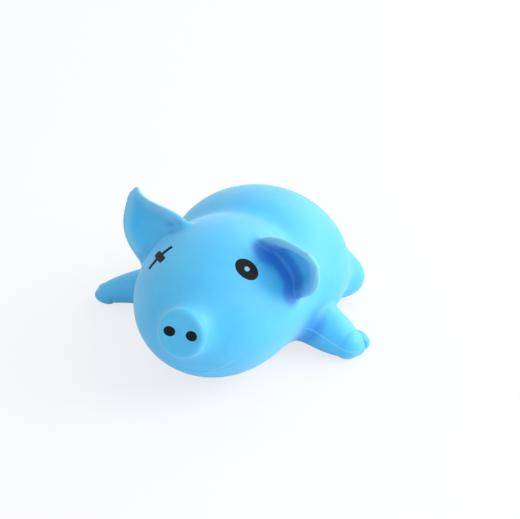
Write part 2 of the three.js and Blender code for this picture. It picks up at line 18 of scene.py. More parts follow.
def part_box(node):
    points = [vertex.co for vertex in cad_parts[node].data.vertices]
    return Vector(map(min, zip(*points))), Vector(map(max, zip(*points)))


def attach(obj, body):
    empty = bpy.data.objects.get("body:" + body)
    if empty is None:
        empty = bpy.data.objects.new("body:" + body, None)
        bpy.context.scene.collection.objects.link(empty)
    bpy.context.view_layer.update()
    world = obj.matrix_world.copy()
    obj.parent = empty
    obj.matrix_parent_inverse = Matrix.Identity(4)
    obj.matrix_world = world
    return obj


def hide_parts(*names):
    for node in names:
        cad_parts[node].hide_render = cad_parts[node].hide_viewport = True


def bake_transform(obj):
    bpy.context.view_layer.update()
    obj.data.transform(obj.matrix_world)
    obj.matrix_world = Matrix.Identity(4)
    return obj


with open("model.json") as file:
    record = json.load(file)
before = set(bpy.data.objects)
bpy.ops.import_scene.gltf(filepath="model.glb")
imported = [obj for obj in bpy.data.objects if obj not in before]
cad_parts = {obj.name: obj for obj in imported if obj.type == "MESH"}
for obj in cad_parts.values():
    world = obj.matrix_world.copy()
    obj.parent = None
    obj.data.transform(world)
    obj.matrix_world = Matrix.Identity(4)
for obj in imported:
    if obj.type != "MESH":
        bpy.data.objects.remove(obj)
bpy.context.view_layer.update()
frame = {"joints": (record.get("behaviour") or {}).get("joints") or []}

MM = 0.001  # shapes are worked out in millimetres and become metres when their mesh is made
TINY = 1e-9  # keeps a division or a root clear of zero


def node_box(node):
    """A CAD node's lowest and highest corners in millimetres."""
    return [np.array(corner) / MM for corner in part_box(node)]


# The filling plug sits under the very middle of the torso, so every other place is counted from it.
PLUG_MIDDLE = sum(node_box("filling_plug")) / 2

# %% [markdown]
# ## Camera
# The photograph is taken from the pig's left front, 33 degrees above the table, with a long lens. A camera
# could be placed by eye, but here its place was solved from the toy's outline, so it is written as the
# angles and the distance that a photographer would measure.

# %% Camera
CAMERA_BEARING = 21.5  # degrees round the toy
CAMERA_RISE = 33.0
CAMERA_DISTANCE = 730.0
LOOK_AT = np.array([PLUG_MIDDLE[0] - 1.4, PLUG_MIDDLE[1] - 5.4, 20.0])
FOCAL_PIXELS = 1900.0
FRAME_WIDTH, FRAME_HEIGHT = 520, 519
AXIS_PIXEL = (249.4, 269.5)  # where the lens axis meets the picture


def bearing_vector(bearing, rise):
    """Unit vector at a bearing from straight ahead round to the pig's left, and at a rise, in degrees."""
    b, r = np.radians([bearing, rise])
    return np.array([np.cos(r) * np.sin(b), -np.cos(r) * np.cos(b), np.sin(r)])


def in_scene(name, data):
    """Links a camera, a lamp or a mesh to the scene as an object."""
    made = bpy.data.objects.new(name, data)
    bpy.context.scene.collection.objects.link(made)
    return made


def stand_off(made, bearing, rise, distance):
    """Stands a camera or a lamp this many millimetres off the toy, looking at it."""
    back = Vector(bearing_vector(bearing, rise))
    made.location = Vector(LOOK_AT) * MM + back * (distance * MM)
    made.rotation_mode = "QUATERNION"
    made.rotation_quaternion = (-back).to_track_quat("-Z", "Y")


def make_camera():
    lens = bpy.data.cameras.new("camera")
    lens.sensor_width = 36.0
    lens.lens = FOCAL_PIXELS / FRAME_WIDTH * lens.sensor_width
    lens.shift_x = (FRAME_WIDTH / 2 - AXIS_PIXEL[0]) / FRAME_WIDTH
    lens.shift_y = (AXIS_PIXEL[1] - FRAME_HEIGHT / 2) / FRAME_WIDTH
    lens.clip_start = 0.01
    lens.clip_end = 20.0
    camera = in_scene("camera", lens)
    stand_off(camera, CAMERA_BEARING, CAMERA_RISE, CAMERA_DISTANCE)
    bpy.context.scene.camera = camera
    return camera


camera = make_camera()
print("camera stands at", [round(c, 3) for c in camera.location], "m")

# %% [markdown]
# ## Shader maths
# Every material here is procedural. Long chains of Math nodes are hard to read, so one small class wraps a
# socket and lets Python's own operators add the nodes.


# %% A socket that can be reckoned with
class Socket:
    def __init__(self, graph, socket):
        self.graph = graph
        self.socket = socket

    def reckon(self, operation, *values):
        return self.graph.node("ShaderNodeMath", {"operation": operation}, *values)[0]

    def __add__(self, other):
        return self.reckon("ADD", self, other)

    __radd__ = __add__

    def __mul__(self, other):
        return self.reckon("MULTIPLY", self, other)

    __rmul__ = __mul__

    def __sub__(self, other):
        return self.reckon("SUBTRACT", self, other)

    def __rsub__(self, other):
        return self.reckon("SUBTRACT", other, self)

    def between(self, low, high):
        """0 below low, 1 above high, and smooth in between."""
        settings = {"interpolation_type": "SMOOTHSTEP"}
        return self.graph.node("ShaderNodeMapRange", settings, self, low, high, 0.0, 1.0)[0]


# %% The node graph of a material or of the world
class Graph:
    def __init__(self, owner):
        self.owner = owner
        owner.use_nodes = True
        self.tree = owner.node_tree
        self.tree.nodes.clear()

    @cached_property
    def place(self):
        """Object coordinates."""
        return self.node("ShaderNodeTexCoord")[3]

    def node(self, kind, settings=None, *values, **named):
        """Adds a node: its settings first, then the values or links of its sockets, in order or by name."""
        made = self.tree.nodes.new(kind)
        for key, value in (settings or {}).items():
            setattr(made, key, value)
        for key, value in [*enumerate(values), *named.items()]:
            target = made.inputs[key if isinstance(key, int) else key.replace("_", " ")]
            if isinstance(value, Socket):
                self.tree.links.new(value.socket, target)
            elif value is not None:
                target.default_value = value
        return [Socket(self, output) for output in made.outputs]

    def noise(self, size, detail=2.0, roughness=0.5):
        """Cloudy noise from 0 to 1 whose blotches are about this many millimetres across."""
        scale = 1 / (size * MM)
        return self.node("ShaderNodeTexNoise", None, self.place, None, scale, detail, roughness)[0]

    def mixed(self, factor, first, second):
        """A colour between two, each given as a link or as its six-figure code."""
        first, second = (rgba(colour) if isinstance(colour, str) else colour for colour in (first, second))
        unused = [None] * 5  # the sockets for numbers and vectors
        return self.node("ShaderNodeMix", {"data_type": "RGBA"}, factor, *unused, first, second)[2]

    def specks(self, spacing, size):
        """Round specks of 1 on 0, this many millimetres apart and about this share of that across."""
        spots = self.node("ShaderNodeTexVoronoi", None, self.place, None, 1 / (spacing * MM))[0]
        return 1 - spots.between(size * 0.5, size)

    def bumped(self, height, depth, strength=1.0):
        """A normal from a height of 0 to 1 that stands for a relief of this many millimetres."""
        return self.node("ShaderNodeBump", None, strength, depth * MM, 1.0, height)[0]

    def finish(self, shader, output="ShaderNodeOutputMaterial"):
        self.node(output, None, shader)
        return self.owner


def rgba(code):
    """A colour as the eye names it, such as 6cc8f5, in the linear values that a shader takes."""
    channels = [int(code[i:i + 2], 16) / 255 for i in (0, 2, 4)]
    return [c / 12.92 if c <= 0.04045 else ((c + 0.055) / 1.055) ** 2.4 for c in channels] + [1.0]


def principled(graph, **sockets):
    """Closes a material's graph with one shader."""
    return graph.finish(graph.node("ShaderNodeBsdfPrincipled", None, **sockets)[0])


# %% [markdown]
# ## The lobes
# Torso and head are balls drawn out to five half-lengths, of which both sides share one. Below its waist
# the torso is fuller than an ellipsoid, because the gel inside sags. Instead of vertices, each lobe is
# written as a distance: below zero inside, zero on the skin, above zero outside. Distances can be joined
# with a fillet of any size, which is how a mould maker's blend is had without a single boolean.

# %% Lobes of torso and head
FLATTENED = 0.5  # how deep the underside is pressed flat
# The neck's fillet grows from its top to its sides, between these two heights.
NECK = {"top": 7.0, "side": 26.0, "from": 46.0, "to": 22.0}
CHEEK_FILLET = 14.0  # between a leg and the head, where the cheek runs down into the leg
TORSO = {"side": 35.6, "front": 31.0, "behind": 33.2, "above": 30.6, "below": 19.5, "fullness": 2.3}
HEAD = {"side": 31.0, "front": 37.0, "behind": 36.0, "above": 27.4, "below": 27.4, "fullness": 2.0}
TORSO["centre"] = np.array([PLUG_MIDDLE[0], PLUG_MIDDLE[1], TORSO["below"] - FLATTENED])
HEAD["centre"] = np.array([PLUG_MIDDLE[0] - 1.4, PLUG_MIDDLE[1] - 34.9, HEAD["below"] - FLATTENED])
print("torso at", TORSO["centre"].round(2), "head at", HEAD["centre"].round(2))


def unit(vector):
    return vector / np.linalg.norm(vector)


def half_lengths(offsets, lobe):
    """A lobe's half-lengths along x, y and z, towards each offset from its centre."""
    reach = np.full(offsets.shape, lobe["side"])
    reach[:, 1] = np.where(offsets[:, 1] < 0, lobe["front"], lobe["behind"])
    reach[:, 2] = np.where(offsets[:, 2] < 0, lobe["below"], lobe["above"])
    return reach


def drawn_out(ball, lobe):
    """Points of a unit ball, drawn out to a lobe."""
    level = np.hypot(ball[:, 0], ball[:, 1])
    depth = np.maximum(0, -ball[:, 2])
    n = lobe["fullness"]
    swell = np.where(depth > 0, np.maximum(level**n + depth**n, TINY) ** (-1 / n), 1)
    return lobe["centre"] + ball * swell[:, None] * half_lengths(ball, lobe)


def lobe_field(points, lobe):
    """Distance to a lobe's surface, true near it."""
    q = points - lobe["centre"]
    reach = half_lengths(q, lobe)
    q = q / reach
    n = np.where(q[:, 2] < 0, lobe["fullness"], 2.0)
    level = np.hypot(q[:, 0], q[:, 1]) + TINY
    depth = np.abs(q[:, 2])
    size = (level**n + depth**n) ** (1 / n) + TINY
    slope = q / reach
    slope[:, :2] *= (level ** (n - 2))[:, None]
    slope[:, 2] *= (depth + TINY) ** (n - 2)
    steepness = size ** (1 - n) * np.linalg.norm(slope, axis=1) + TINY
    return (size - 1) / steepness


def on_lobe(lobe, bearing, rise):
    """The point of a lobe at a bearing and a rise, and the outward direction there."""
    point = drawn_out(bearing_vector(bearing, rise)[None], lobe)[0]
    offset = point - lobe["centre"]
    return point, unit(offset / np.square(half_lengths(offset[None], lobe)[0]))


def joined(a, b, fillet):
    """Union of two distances with a fillet where they meet."""
    h = np.clip(1 - np.abs(a - b) / fillet, 0, 1)
    return np.minimum(a, b) - fillet * h**3 / 6


def close_by(points, centre, radius, field):
    """A field worked out only inside a ball. Outside it, where nothing of it matters, the ball's distance."""
    margin = CHEEK_FILLET + 1
    distance = np.linalg.norm(points - centre, axis=1) - radius + margin
    near = distance < margin
    distance[near] = field(points[near])
    return distance


def smooth_step(t):
    t = np.clip(t, 0, 1)
    return t * t * (3 - 2 * t)


def bell(distance, width):
    """1 at distance 0, falling smoothly to nothing at about twice the width."""
    return np.exp(-np.square(distance / width))


# %% [markdown]
# ## Legs and hooves
# Each leg leaves the torso at the hip, bends at the knee and tapers to the ankle, where two toes stand
# side by side with a cleft between them. A round tube along a bent line gives the stump and two ellipsoids
# the toes, blended; a fine ring pressed in at the ankle marks the top of the hoof. A loft could give the
# stump too, but not the fillets that it needs at both its ends.

# %% Legs
# Headings of thigh, shin and hoof; length and droop of thigh and of shin; radii at the buried end, at the
# knee and at the ankle; and a toe's half-lengths.
REAR = {
    "fillet": 10.0, "rise": -24.0, "thigh": (4.5, 8.0), "shin": (7.7, 31.0), "radii": (11.0, 10.8, 5.8),
    "toe": (2.9, 4.4, 3.2), "toe_ahead": 2.0, "toe_shift": 0.0, "toe_apart": 4.8,
}
LEGS = {
    "front_left": {
        "fillet": 4.5, "bearing": 60.0, "rise": -27.0, "headings": (74.0, 72.0, 81.5),
        "thigh": (7.0, 12.5), "shin": (9.2, 16.0), "radii": (9.6, 10.0, 6.0),
        "toe": (3.5, 5.2, 4.2), "toe_ahead": 1.1, "toe_shift": 4.0, "toe_apart": 3.8,
    },
    "front_right": {
        "fillet": 4.5, "bearing": -60.3, "rise": -22.0, "headings": (-90.0, -71.4, -84.0),
        "thigh": (16.0, 9.0), "shin": (11.9, 25.0), "radii": (12.0, 6.5, 4.4),
        "toe": (2.8, 4.7, 3.3), "toe_ahead": 1.0, "toe_shift": -1.0, "toe_apart": 3.8,
    },
    "rear_left": {**REAR, "bearing": 124.0, "headings": (100.0, 217.0, 175.0)},
    "rear_right": {**REAR, "bearing": -124.0, "headings": (-100.0, -217.0, -175.0)},
}
LEG_BURIED = 13.0  # how far a leg runs back into the torso
# The crease runs behind the toes' middle by this share of a toe's half-length.
ANKLE_CREASE = {"depth": 0.3, "width": 0.5, "behind": 0.72}
TOE_FILLET = 1.2
BEND_SHARES = np.linspace(0, 1, 12)  # even steps along a leg's line


def lay_out_leg(leg):
    """Works out the three places that bend a leg, each with its radius, and where its toes are."""
    leg["hip"] = on_lobe(TORSO, leg["bearing"], leg["rise"])[0]
    thigh, shin, hoof = leg["headings"]
    leg["along"] = bearing_vector(thigh, -leg["thigh"][1])
    knee = leg["hip"] + leg["along"] * leg["thigh"][0]
    leg["ankle"] = knee + bearing_vector(shin, -leg["shin"][1]) * leg["shin"][0]
    places = [leg["hip"] - leg["along"] * LEG_BURIED, knee, leg["ankle"]]
    leg["bend"] = [np.append(place, radius) for place, radius in zip(places, leg["radii"])]
    leg["ahead"] = bearing_vector(hoof, 0.0)
    leg["across"] = np.cross([0, 0, 1], leg["ahead"])
    middle = leg["ankle"] + leg["ahead"] * leg["toe_ahead"] + leg["across"] * leg["toe_shift"]
    middle[2] = leg["toe"][2] - FLATTENED / 2
    leg["toes"] = [middle + leg["across"] * side * leg["toe_apart"] / 2 for side in (-1, 1)]


for name, leg in LEGS.items():
    lay_out_leg(leg)
    print(name, "leg from", leg["hip"].round(1), "to", leg["ankle"].round(1))


def along_bend(bend, t):
    """Place, speed and change of speed at a share of a quadratic curve through or towards three places."""
    first, middle, last = bend
    t = t[:, None]
    spot = (1 - t) ** 2 * first + 2 * t * (1 - t) * middle + t**2 * last
    return spot, 2 * (1 - t) * (middle - first) + 2 * t * (last - middle), 2 * (first - 2 * middle + last)


def bent_field(points, bend):
    """Distance to a tube round a bent line whose radius changes along it."""
    starts = along_bend(bend, BEND_SHARES)[0]
    t = BEND_SHARES[np.linalg.norm(points[:, None] - starts[None, :, :3], axis=2).argmin(axis=1)]
    for _ in range(4):
        spot, speed, change = (part[..., :3] for part in along_bend(bend, t))
        gap = spot - points
        slope = np.sum(speed**2, axis=1) + gap @ change
        t = np.clip(t - np.sum(gap * speed, axis=1) / np.maximum(slope, 1.0), 0, 1)
    spot = along_bend(bend, t)[0]
    return np.linalg.norm(points - spot[:, :3], axis=1) - spot[:, 3]


def tube_field(points, line):
    """Distance to a thin tube round a line of close, even places whose fourth number is the radius."""
    gaps = np.linalg.norm(points[:, None] - line[None, :, :3], axis=2)
    nearest = np.clip(gaps.argmin(axis=1), 1, len(line) - 2)
    share = nearest.astype(float)
    for start, overshoot in ((nearest - 1, 1), (nearest, 0)):
        step = line[start + 1, :3] - line[start, :3]
        along = np.sum((points - line[start, :3]) * step, axis=1) / np.sum(step**2, axis=1)
        share += (along - overshoot) / 2
    share = np.clip(share, 0, len(line) - 1.001)
    whole = share.astype(int)
    spot = line[whole] + (share - whole)[:, None] * (line[whole + 1] - line[whole])
    return np.linalg.norm(points - spot[:, :3], axis=1) - spot[:, 3]


def ellipsoid_field(points, centre, axes, radii):
    """Distance to an ellipsoid, true near its surface."""
    q = (points - centre) @ np.array(axes).T / radii
    size = np.linalg.norm(q, axis=1) + TINY
    return size * (size - 1) / (np.linalg.norm(q / radii, axis=1) + TINY)


def leg_reach(leg):
    """A ball that holds a leg, its hoof and its fillet."""
    ends = np.array([leg["bend"][0][:3], leg["ankle"]])
    half = np.linalg.norm(ends[1] - ends[0]) / 2
    return ends.mean(axis=0), half + leg["radii"][0] + leg["toe"][1] + CHEEK_FILLET


def leg_field(points, leg):
    stump = bent_field(points, leg["bend"])
    axes = [leg["across"], leg["ahead"], [0, 0, 1]]
    toes = np.minimum(*(ellipsoid_field(points, toe, axes, np.array(leg["toe"])) for toe in leg["toes"]))
    crease = (points - leg["ankle"]) @ leg["ahead"] - leg["toe_ahead"]
    crease = crease + leg["toe"][1] * ANKLE_CREASE["behind"]
    near = bell(crease, ANKLE_CREASE["width"]) * np.clip(2 - np.maximum(toes, 0), 0, 1)
    return joined(stump, toes, TOE_FILLET) + ANKLE_CREASE["depth"] * near


# %% [markdown]
# ## Ears
# An ear is a leaf of rubber, curled like a gutter, dished in its middle and rolled thick at its rim. It
# could be a bent grid with a thickness, but its foot must melt into the head, so it is a distance as well:
# how far a point is from the curled sheet and from the leaf's outline, less half the leaf's thickness. The
# outline is measured flat, on the unrolled leaf, so that the rim has one radius all the way round.

# %% Ears
EAR_INNER = {"bearing": 102.3, "rise": 61.2}
EAR_OUTER = {"bearing": 90.3, "rise": 14.1}
EAR_THICKNESS = 1.7
EAR_RIM = 2.3
EAR_CUP = {"foot": 10.0, "tip": 16.0, "swell": 11.0}  # half the arc of the curl, in degrees
EAR_DISH = {"from": 2.2, "to": 6.4}  # the sunken middle starts and is full at these distances from the rim
EAR_BURIED = 7.0
EAR_FILLET = 5.0
INNER_BOW = 2.4  # how square an inner edge without a waist is
LEAN_CURVE = 1.5  # how late along its length an ear leans over
# Soft ears never lie alike: the right one stands up and is drawn out thin, the left one flops.
EARS = {
    "right": {
        "side": -1, "flop": -16.2, "lean": -2.9, "droop": -0.8, "length": 22.6, "dish": 0.8,
        "tip_half": 1.2, "waist": -0.05, "bulge": 0.09, "fullness": 4.6,
    },
    "left": {
        "side": 1, "flop": 29.3, "lean": 2.6, "droop": 0.6, "length": 23.9, "dish": 1.7,
        "tip_half": 2.7, "waist": -1.14, "bulge": 0.05, "fullness": 3.4,
    },
}


def turned(vector, axis, degrees):
    angle = math.radians(degrees)
    swept = vector * math.cos(angle) + np.cross(axis, vector) * math.sin(angle)
    return swept + axis * (axis @ vector) * (1 - math.cos(angle))


for ear in EARS.values():
    ends = [on_lobe(HEAD, ear["side"] * end["bearing"], end["rise"])[0] for end in (EAR_INNER, EAR_OUTER)]
    ear["foot"] = (ends[0] + ends[1]) / 2
    ear["half_base"] = np.linalg.norm(ends[1] - ends[0]) / 2
    ear["outwards"] = unit(ends[1] - ends[0])
    away = ear["foot"] - [HEAD["centre"][0], ear["foot"][1], HEAD["centre"][2]]
    ear["away"] = unit(away - away @ ear["outwards"] * ear["outwards"])
    swing = ear["outwards"] * ear["side"]
    ear["up"] = turned(ear["away"], swing, ear["flop"])
    ear["behind"] = np.cross(ear["up"], swing)


def ear_halves(along, ear):
    """The leaf's half-widths, towards its waisted or bowed inner edge and towards its full outer one."""
    waisted, bowed = (1 + np.cos(np.pi * along)) / 2, 1 - along**INNER_BOW
    inner = waisted + (waisted - bowed) * ear["waist"]
    outer = (1 - along ** ear["fullness"]) * (1 + ear["bulge"] * np.sin(np.pi * along))
    return [ear["tip_half"] + (ear["half_base"] - ear["tip_half"]) * edge for edge in (inner, outer)]


def ear_curl(share, ear):
    """At a share of the leaf's length: its halves, its curl and the radius of the curl."""
    along = np.clip(share, 0, 1)
    halves = ear_halves(along, ear)
    curl = EAR_CUP["foot"] + (EAR_CUP["tip"] - EAR_CUP["foot"]) * along
    curl = np.radians(curl + EAR_CUP["swell"] * np.sin(np.pi * along))
    return along, halves, curl, sum(halves) / 2 / np.sin(curl)


def ear_sway(along, ear):
    """How far the leaf's middle line leans outwards and droops at a share of its length."""
    return ear["lean"] * along**LEAN_CURVE, ear["droop"] * along**2


def widening(across, halves):
    """How much wider than their mean the half of the leaf on this side of its middle is."""
    return np.where(across < 0, *halves) / (sum(halves) / 2)


def ear_outline(ear):
    """The leaf's outline laid flat: up its inner edge, over the tip and down its outer edge."""
    share = np.linspace(-EAR_BURIED / ear["length"], 1, 32)
    _, halves, curl, _ = ear_curl(share, ear)
    inner, outer = (half * curl / np.sin(curl) for half in halves)
    high = share * ear["length"]
    return np.stack([np.append(-inner, outer[::-1]), np.append(high, high[::-1])], axis=1)


def inside_outline(across, high, ear):
    """How far inside its flat outline a place of the leaf is, and outside as a negative number."""
    line = ear["outline"]
    step = line[1:] - line[:-1]
    gap = np.stack([across, high], axis=1)[:, None] - line[None, :-1]
    share = np.clip(np.sum(gap * step, axis=2) / np.sum(step**2, axis=1), 0, 1)
    distance = np.linalg.norm(gap - share[..., None] * step, axis=2).min(axis=1)
    half = len(line) // 2
    inner, outer = (np.interp(high, side[:, 1], side[:, 0]) for side in (line[:half], line[half:][::-1]))
    inside = (across > inner) & (across < outer) & (high < ear["length"])
    return np.where(inside, distance, -distance)


def ear_place(points, ear):
    """How a point lies to the leaf: along it, round its curl, in from its outline, and off its sheet."""
    p = points - ear["foot"]
    share = p @ ear["up"] / ear["length"]
    along, halves, curl, radius = ear_curl(share, ear)
    lean, droop = ear_sway(along, ear)
    out = p @ ear["outwards"] - lean
    widen = widening(out, halves)
    out = out / widen
    back = p @ ear["behind"] - droop + radius * np.cos(curl)
    angle = np.arctan2(out, back)
    inwards = inside_outline(angle * radius * widen, share * ear["length"], ear)
    return share, along, angle / curl, inwards, np.hypot(out, back) - radius


def sunken(inwards, ear):
    """How deep the leaf is dished at a distance inwards from its outline."""
    return ear["dish"] * smooth_step((inwards - EAR_DISH["from"]) / (EAR_DISH["to"] - EAR_DISH["from"]))


def ear_field(points, ear):
    """Distance to an ear's leaf, which is thinner in its middle than at its rim and tip."""
    share, along, v, inwards, from_sheet = ear_place(points, ear)
    v = np.clip(v, -1, 1)
    from_sheet = from_sheet - sunken(inwards, ear)
    thickness = EAR_RIM + (EAR_THICKNESS - EAR_RIM) * (1 - v**2) * (1 - along**3)
    past_edge = np.maximum(-inwards, 0)
    past_foot = np.maximum(-share * ear["length"] - EAR_BURIED, 0)
    return np.sqrt(from_sheet**2 + past_edge**2 + past_foot**2) - thickness / 2


for name, ear in EARS.items():
    ear["outline"] = ear_outline(ear)
    print(name, "ear:", ear["length"], "long,", round(2 * ear["half_base"], 1), "wide at its foot")


# %% [markdown]
# ## Snout, smile and nostrils
# The snout is a short round plug with a rounded rim and a slightly dished face. A spun profile would make
# one, but it has to run into the head, so it is written as a distance in the lathe's two numbers: how far a
# point is from the axis and how high it is over the face.

# %% Snout
SNOUT = {"bearing": 2.0, "rise": 13.9, "pitch": 20.0, "radius": 9.1, "reach": 4.4, "flare": 7.6, "edge": 2.6}
SNOUT["deep"] = 3 * SNOUT["reach"]  # how far it runs back from its face
SNOUT_DISH = 0.5
SNOUT_FILLET = 3.6
NOSTRIL_SPACING = 8.4
NOSTRIL_RAISE = 0.2
NOSTRIL_DIMPLE = {"depth": 0.5, "width": 2.6}
SNOUT["axis"] = bearing_vector(0.0, SNOUT["pitch"])
SNOUT["upright"] = bearing_vector(180.0, 90.0 - SNOUT["pitch"])
SNOUT["face"] = on_lobe(HEAD, SNOUT["bearing"], SNOUT["rise"])[0] + SNOUT["axis"] * SNOUT["reach"]
NOSTRILS = {
    side: SNOUT["face"] + SNOUT["upright"] * NOSTRIL_RAISE + np.array([sign * NOSTRIL_SPACING / 2, 0, 0])
    for side, sign in (("left", 1), ("right", -1))
}
print("snout faces the front at", SNOUT["face"].round(1))


def snout_field(points):
    """Distance to a plug with a rounded rim, a dished face, two dimples and a flared foot."""
    p = points - SNOUT["face"]
    height = p @ SNOUT["axis"]
    off = np.linalg.norm(p - height[:, None] * SNOUT["axis"], axis=1)
    height = height + SNOUT_DISH * np.clip(1 - (off / SNOUT["radius"]) ** 2, 0, 1)
    for centre in NOSTRILS.values():
        near = np.linalg.norm(points - centre, axis=1)
        height = height + NOSTRIL_DIMPLE["depth"] * bell(near, NOSTRIL_DIMPLE["width"])
    edge, deep = SNOUT["edge"], SNOUT["deep"]
    foot = np.clip((-height - edge) / (deep - edge), 0, 1)
    side = off - (SNOUT["radius"] - edge) - SNOUT["flare"] * foot**1.5
    top = height + edge
    corner = np.hypot(np.maximum(side, 0), np.maximum(top, 0))
    return np.maximum(corner + np.minimum(np.maximum(side, top), 0) - edge, -height - deep)


# %% The smile: an arc through three places under the snout, pressed into the chin
SMILE = HEAD["centre"] + np.array([[-2.9, -34.9, -8.7], [8.6, -32.8, -10.1], [19.6, -27.7, -5.7]])
SMILE_DEPTH = 0.3
SMILE_WIDTH = 0.7
LINE_REACH = 6.0  # a line is looked for only this near its own box
FAR = 50.0


def arc_through(three, steps):
    """Points along a parabola through three places."""
    t = np.linspace(-1, 1, steps)[:, None]
    first, middle, last = three
    return middle + t * (last - first) / 2 + t**2 * ((first + last) / 2 - middle)


def line_distance(points, line):
    """Distance to the nearest of a line's close points, and where along the line that is."""
    distance = np.full(len(points), FAR)
    share = np.zeros(len(points))
    near = np.all((points > line.min(0) - LINE_REACH) & (points < line.max(0) + LINE_REACH), axis=1)
    if near.any():
        gaps = np.linalg.norm(points[near][:, None] - line[None], axis=2)
        nearest = gaps.argmin(axis=1)
        distance[near] = gaps[np.arange(len(nearest)), nearest]
        share[near] = nearest / (len(line) - 1)
    return distance, share


smile_line = arc_through(SMILE, steps=90)

# %% [markdown]
# ## Tail
# The tail is behind the pig, where the photograph can't look, so it is the small curl that such a toy has:
# a thin cord on a helix, thinner towards its tip. A curve with a bevel would do for a loose tail, but this
# one grows out of the rump, so it is a distance like the rest.

# %% Tail
TAIL = {"bearing": 180.0, "rise": 6.0, "radius": 1.7, "tip": 0.9, "curl": 3.2, "turns": 1.15, "length": 6.5}
TAIL_BURIED = 4.0
TAIL_FILLET = 1.5
TAIL_REACH = 16.0  # a ball of this radius holds the tail


def tail_line():
    start = on_lobe(TORSO, TAIL["bearing"], TAIL["rise"])[0]
    share = np.linspace(0, 1, 90)
    turn = 2 * np.pi * TAIL["turns"] * share
    curl = TAIL["curl"] * (1 - share / 3)
    out = -TAIL_BURIED + (TAIL_BURIED + TAIL["length"]) * share
    places = start + np.stack([curl * np.sin(turn), out, curl * (1 - np.cos(turn))], axis=1)
    return np.column_stack([places, TAIL["radius"] + (TAIL["tip"] - TAIL["radius"]) * share])


tail_path = tail_line()
tail_middle = tail_path[:, :3].mean(axis=0)
print("tail curls round", tail_middle.round(1))


# %% [markdown]
# ## One skin
# All the lobes now join into one distance. Every pair has its own fillet: wide where a leg grows out of the
# gel-filled torso, narrow round the snout. Then the table presses the underside flat. Boolean unions and
# bevels could join the lobes too, but a bevel breaks where three of them meet.

# %% The skin as one distance
TABLE_FILLET = 0.8
PORT = {"radius": 3.2, "depth": 2.2, "fillet": 0.3}
EAR_REACH = {"middle": 1 / 3, "radius": 1.3}  # the ball that holds an ear, as shares of its length


def neck_fillet(points):
    down = smooth_step((NECK["from"] - points[:, 2]) / (NECK["from"] - NECK["to"]))
    return NECK["top"] + (NECK["side"] - NECK["top"]) * down


def body_field(points):
    return joined(lobe_field(points, TORSO), lobe_field(points, HEAD), neck_fillet(points))


def smooth_field(points):
    """The skin without its fine lines."""
    torso, head = lobe_field(points, TORSO), lobe_field(points, HEAD)
    skin = joined(torso, head, neck_fillet(points))
    at_head = smooth_step((torso - head) / CHEEK_FILLET + 0.5)
    for leg in LEGS.values():
        limb = close_by(points, *leg_reach(leg), lambda p: leg_field(p, leg))
        skin = joined(skin, limb, leg["fillet"] + (CHEEK_FILLET - leg["fillet"]) * at_head)
    skin = joined(skin, snout_field(points), SNOUT_FILLET)
    for ear in EARS.values():
        middle = ear["foot"] + ear["up"] * ear["length"] * EAR_REACH["middle"]
        flap = close_by(points, middle, ear["length"] * EAR_REACH["radius"], lambda p: ear_field(p, ear))
        skin = joined(skin, flap, EAR_FILLET)
    tail = close_by(points, tail_middle, TAIL_REACH, lambda p: tube_field(p, tail_path))
    skin = joined(skin, tail, TAIL_FILLET)
    skin = -joined(-skin, points[:, 2], TABLE_FILLET)
    port = np.hypot(points[:, 0] - TORSO["centre"][0], points[:, 1] - TORSO["centre"][1]) - PORT["radius"]
    port = np.maximum(port, points[:, 2] - PORT["depth"])
    return -joined(-skin, port, PORT["fillet"])


FLATTEST = 0.2  # the least squared slope that a move along it trusts


def slope_of(field, points, step=0.04):
    """The direction in which a distance grows, by small steps to both sides."""
    parts = []
    for axis in range(3):
        shift = np.zeros(3)
        shift[axis] = step
        parts.append((field(points + shift) - field(points - shift)) / (2 * step))
    return np.stack(parts, axis=1)


def settled(points, level=0.0, rounds=6, field=None, furthest=1.0):
    """Points moved straight onto the surface where the distance has this level."""
    field = field or skin_field
    for _ in range(rounds):
        slope = slope_of(field, points)
        move = (field(points) - level) / np.maximum(np.sum(slope**2, axis=1), FLATTEST)
        points = points - slope * np.clip(move, -furthest, furthest)[:, None]
    return points


# %% Fine lines: the smile, pressed in, and on the near foreleg the ridge where the mould's halves met
PARTING = TORSO["centre"] + np.array([[29.6, -27.1, -4.6], [40.2, -24.8, -10.9], [48.5, -21.6, -13.8]])
PARTING_HEIGHT = 0.13
PARTING_WIDTH = 0.3
parting_line = settled(arc_through(PARTING, steps=120), field=smooth_field)
smile_line = settled(smile_line, field=smooth_field)
FINE_LINES = ((smile_line, -SMILE_DEPTH, SMILE_WIDTH), (parting_line, PARTING_HEIGHT, PARTING_WIDTH))
print("smile from", smile_line[0].round(1), "to", smile_line[-1].round(1))


def skin_field(points):
    """The whole skin, fine lines included."""
    skin = smooth_field(points)
    for line, height, width in FINE_LINES:
        distance, share = line_distance(points, line)
        skin = skin - height * bell(distance, width) * np.sin(np.pi * share) ** 0.5
    return skin


# %% [markdown]
# ## From rough clay to skin
# The mesh starts as plain primitives in the right places, like lumps of clay pushed together. A voxel
# remesh melts them into one closed net of even squares, and the net is then settled onto the distance.

# %% Rough lumps
VOXEL = 0.58


def coordinates(bm):
    return np.array([v.co for v in bm.verts], float).reshape(-1, 3)


def place(verts, points):
    """Moves vertices to places."""
    for vert, point in zip(verts, points):
        vert.co = point


def add_ball(bm, lobe):
    made = bmesh.ops.create_uvsphere(bm, u_segments=64, v_segments=40, radius=1.0)["verts"]
    place(made, drawn_out(np.array([v.co for v in made]), lobe))


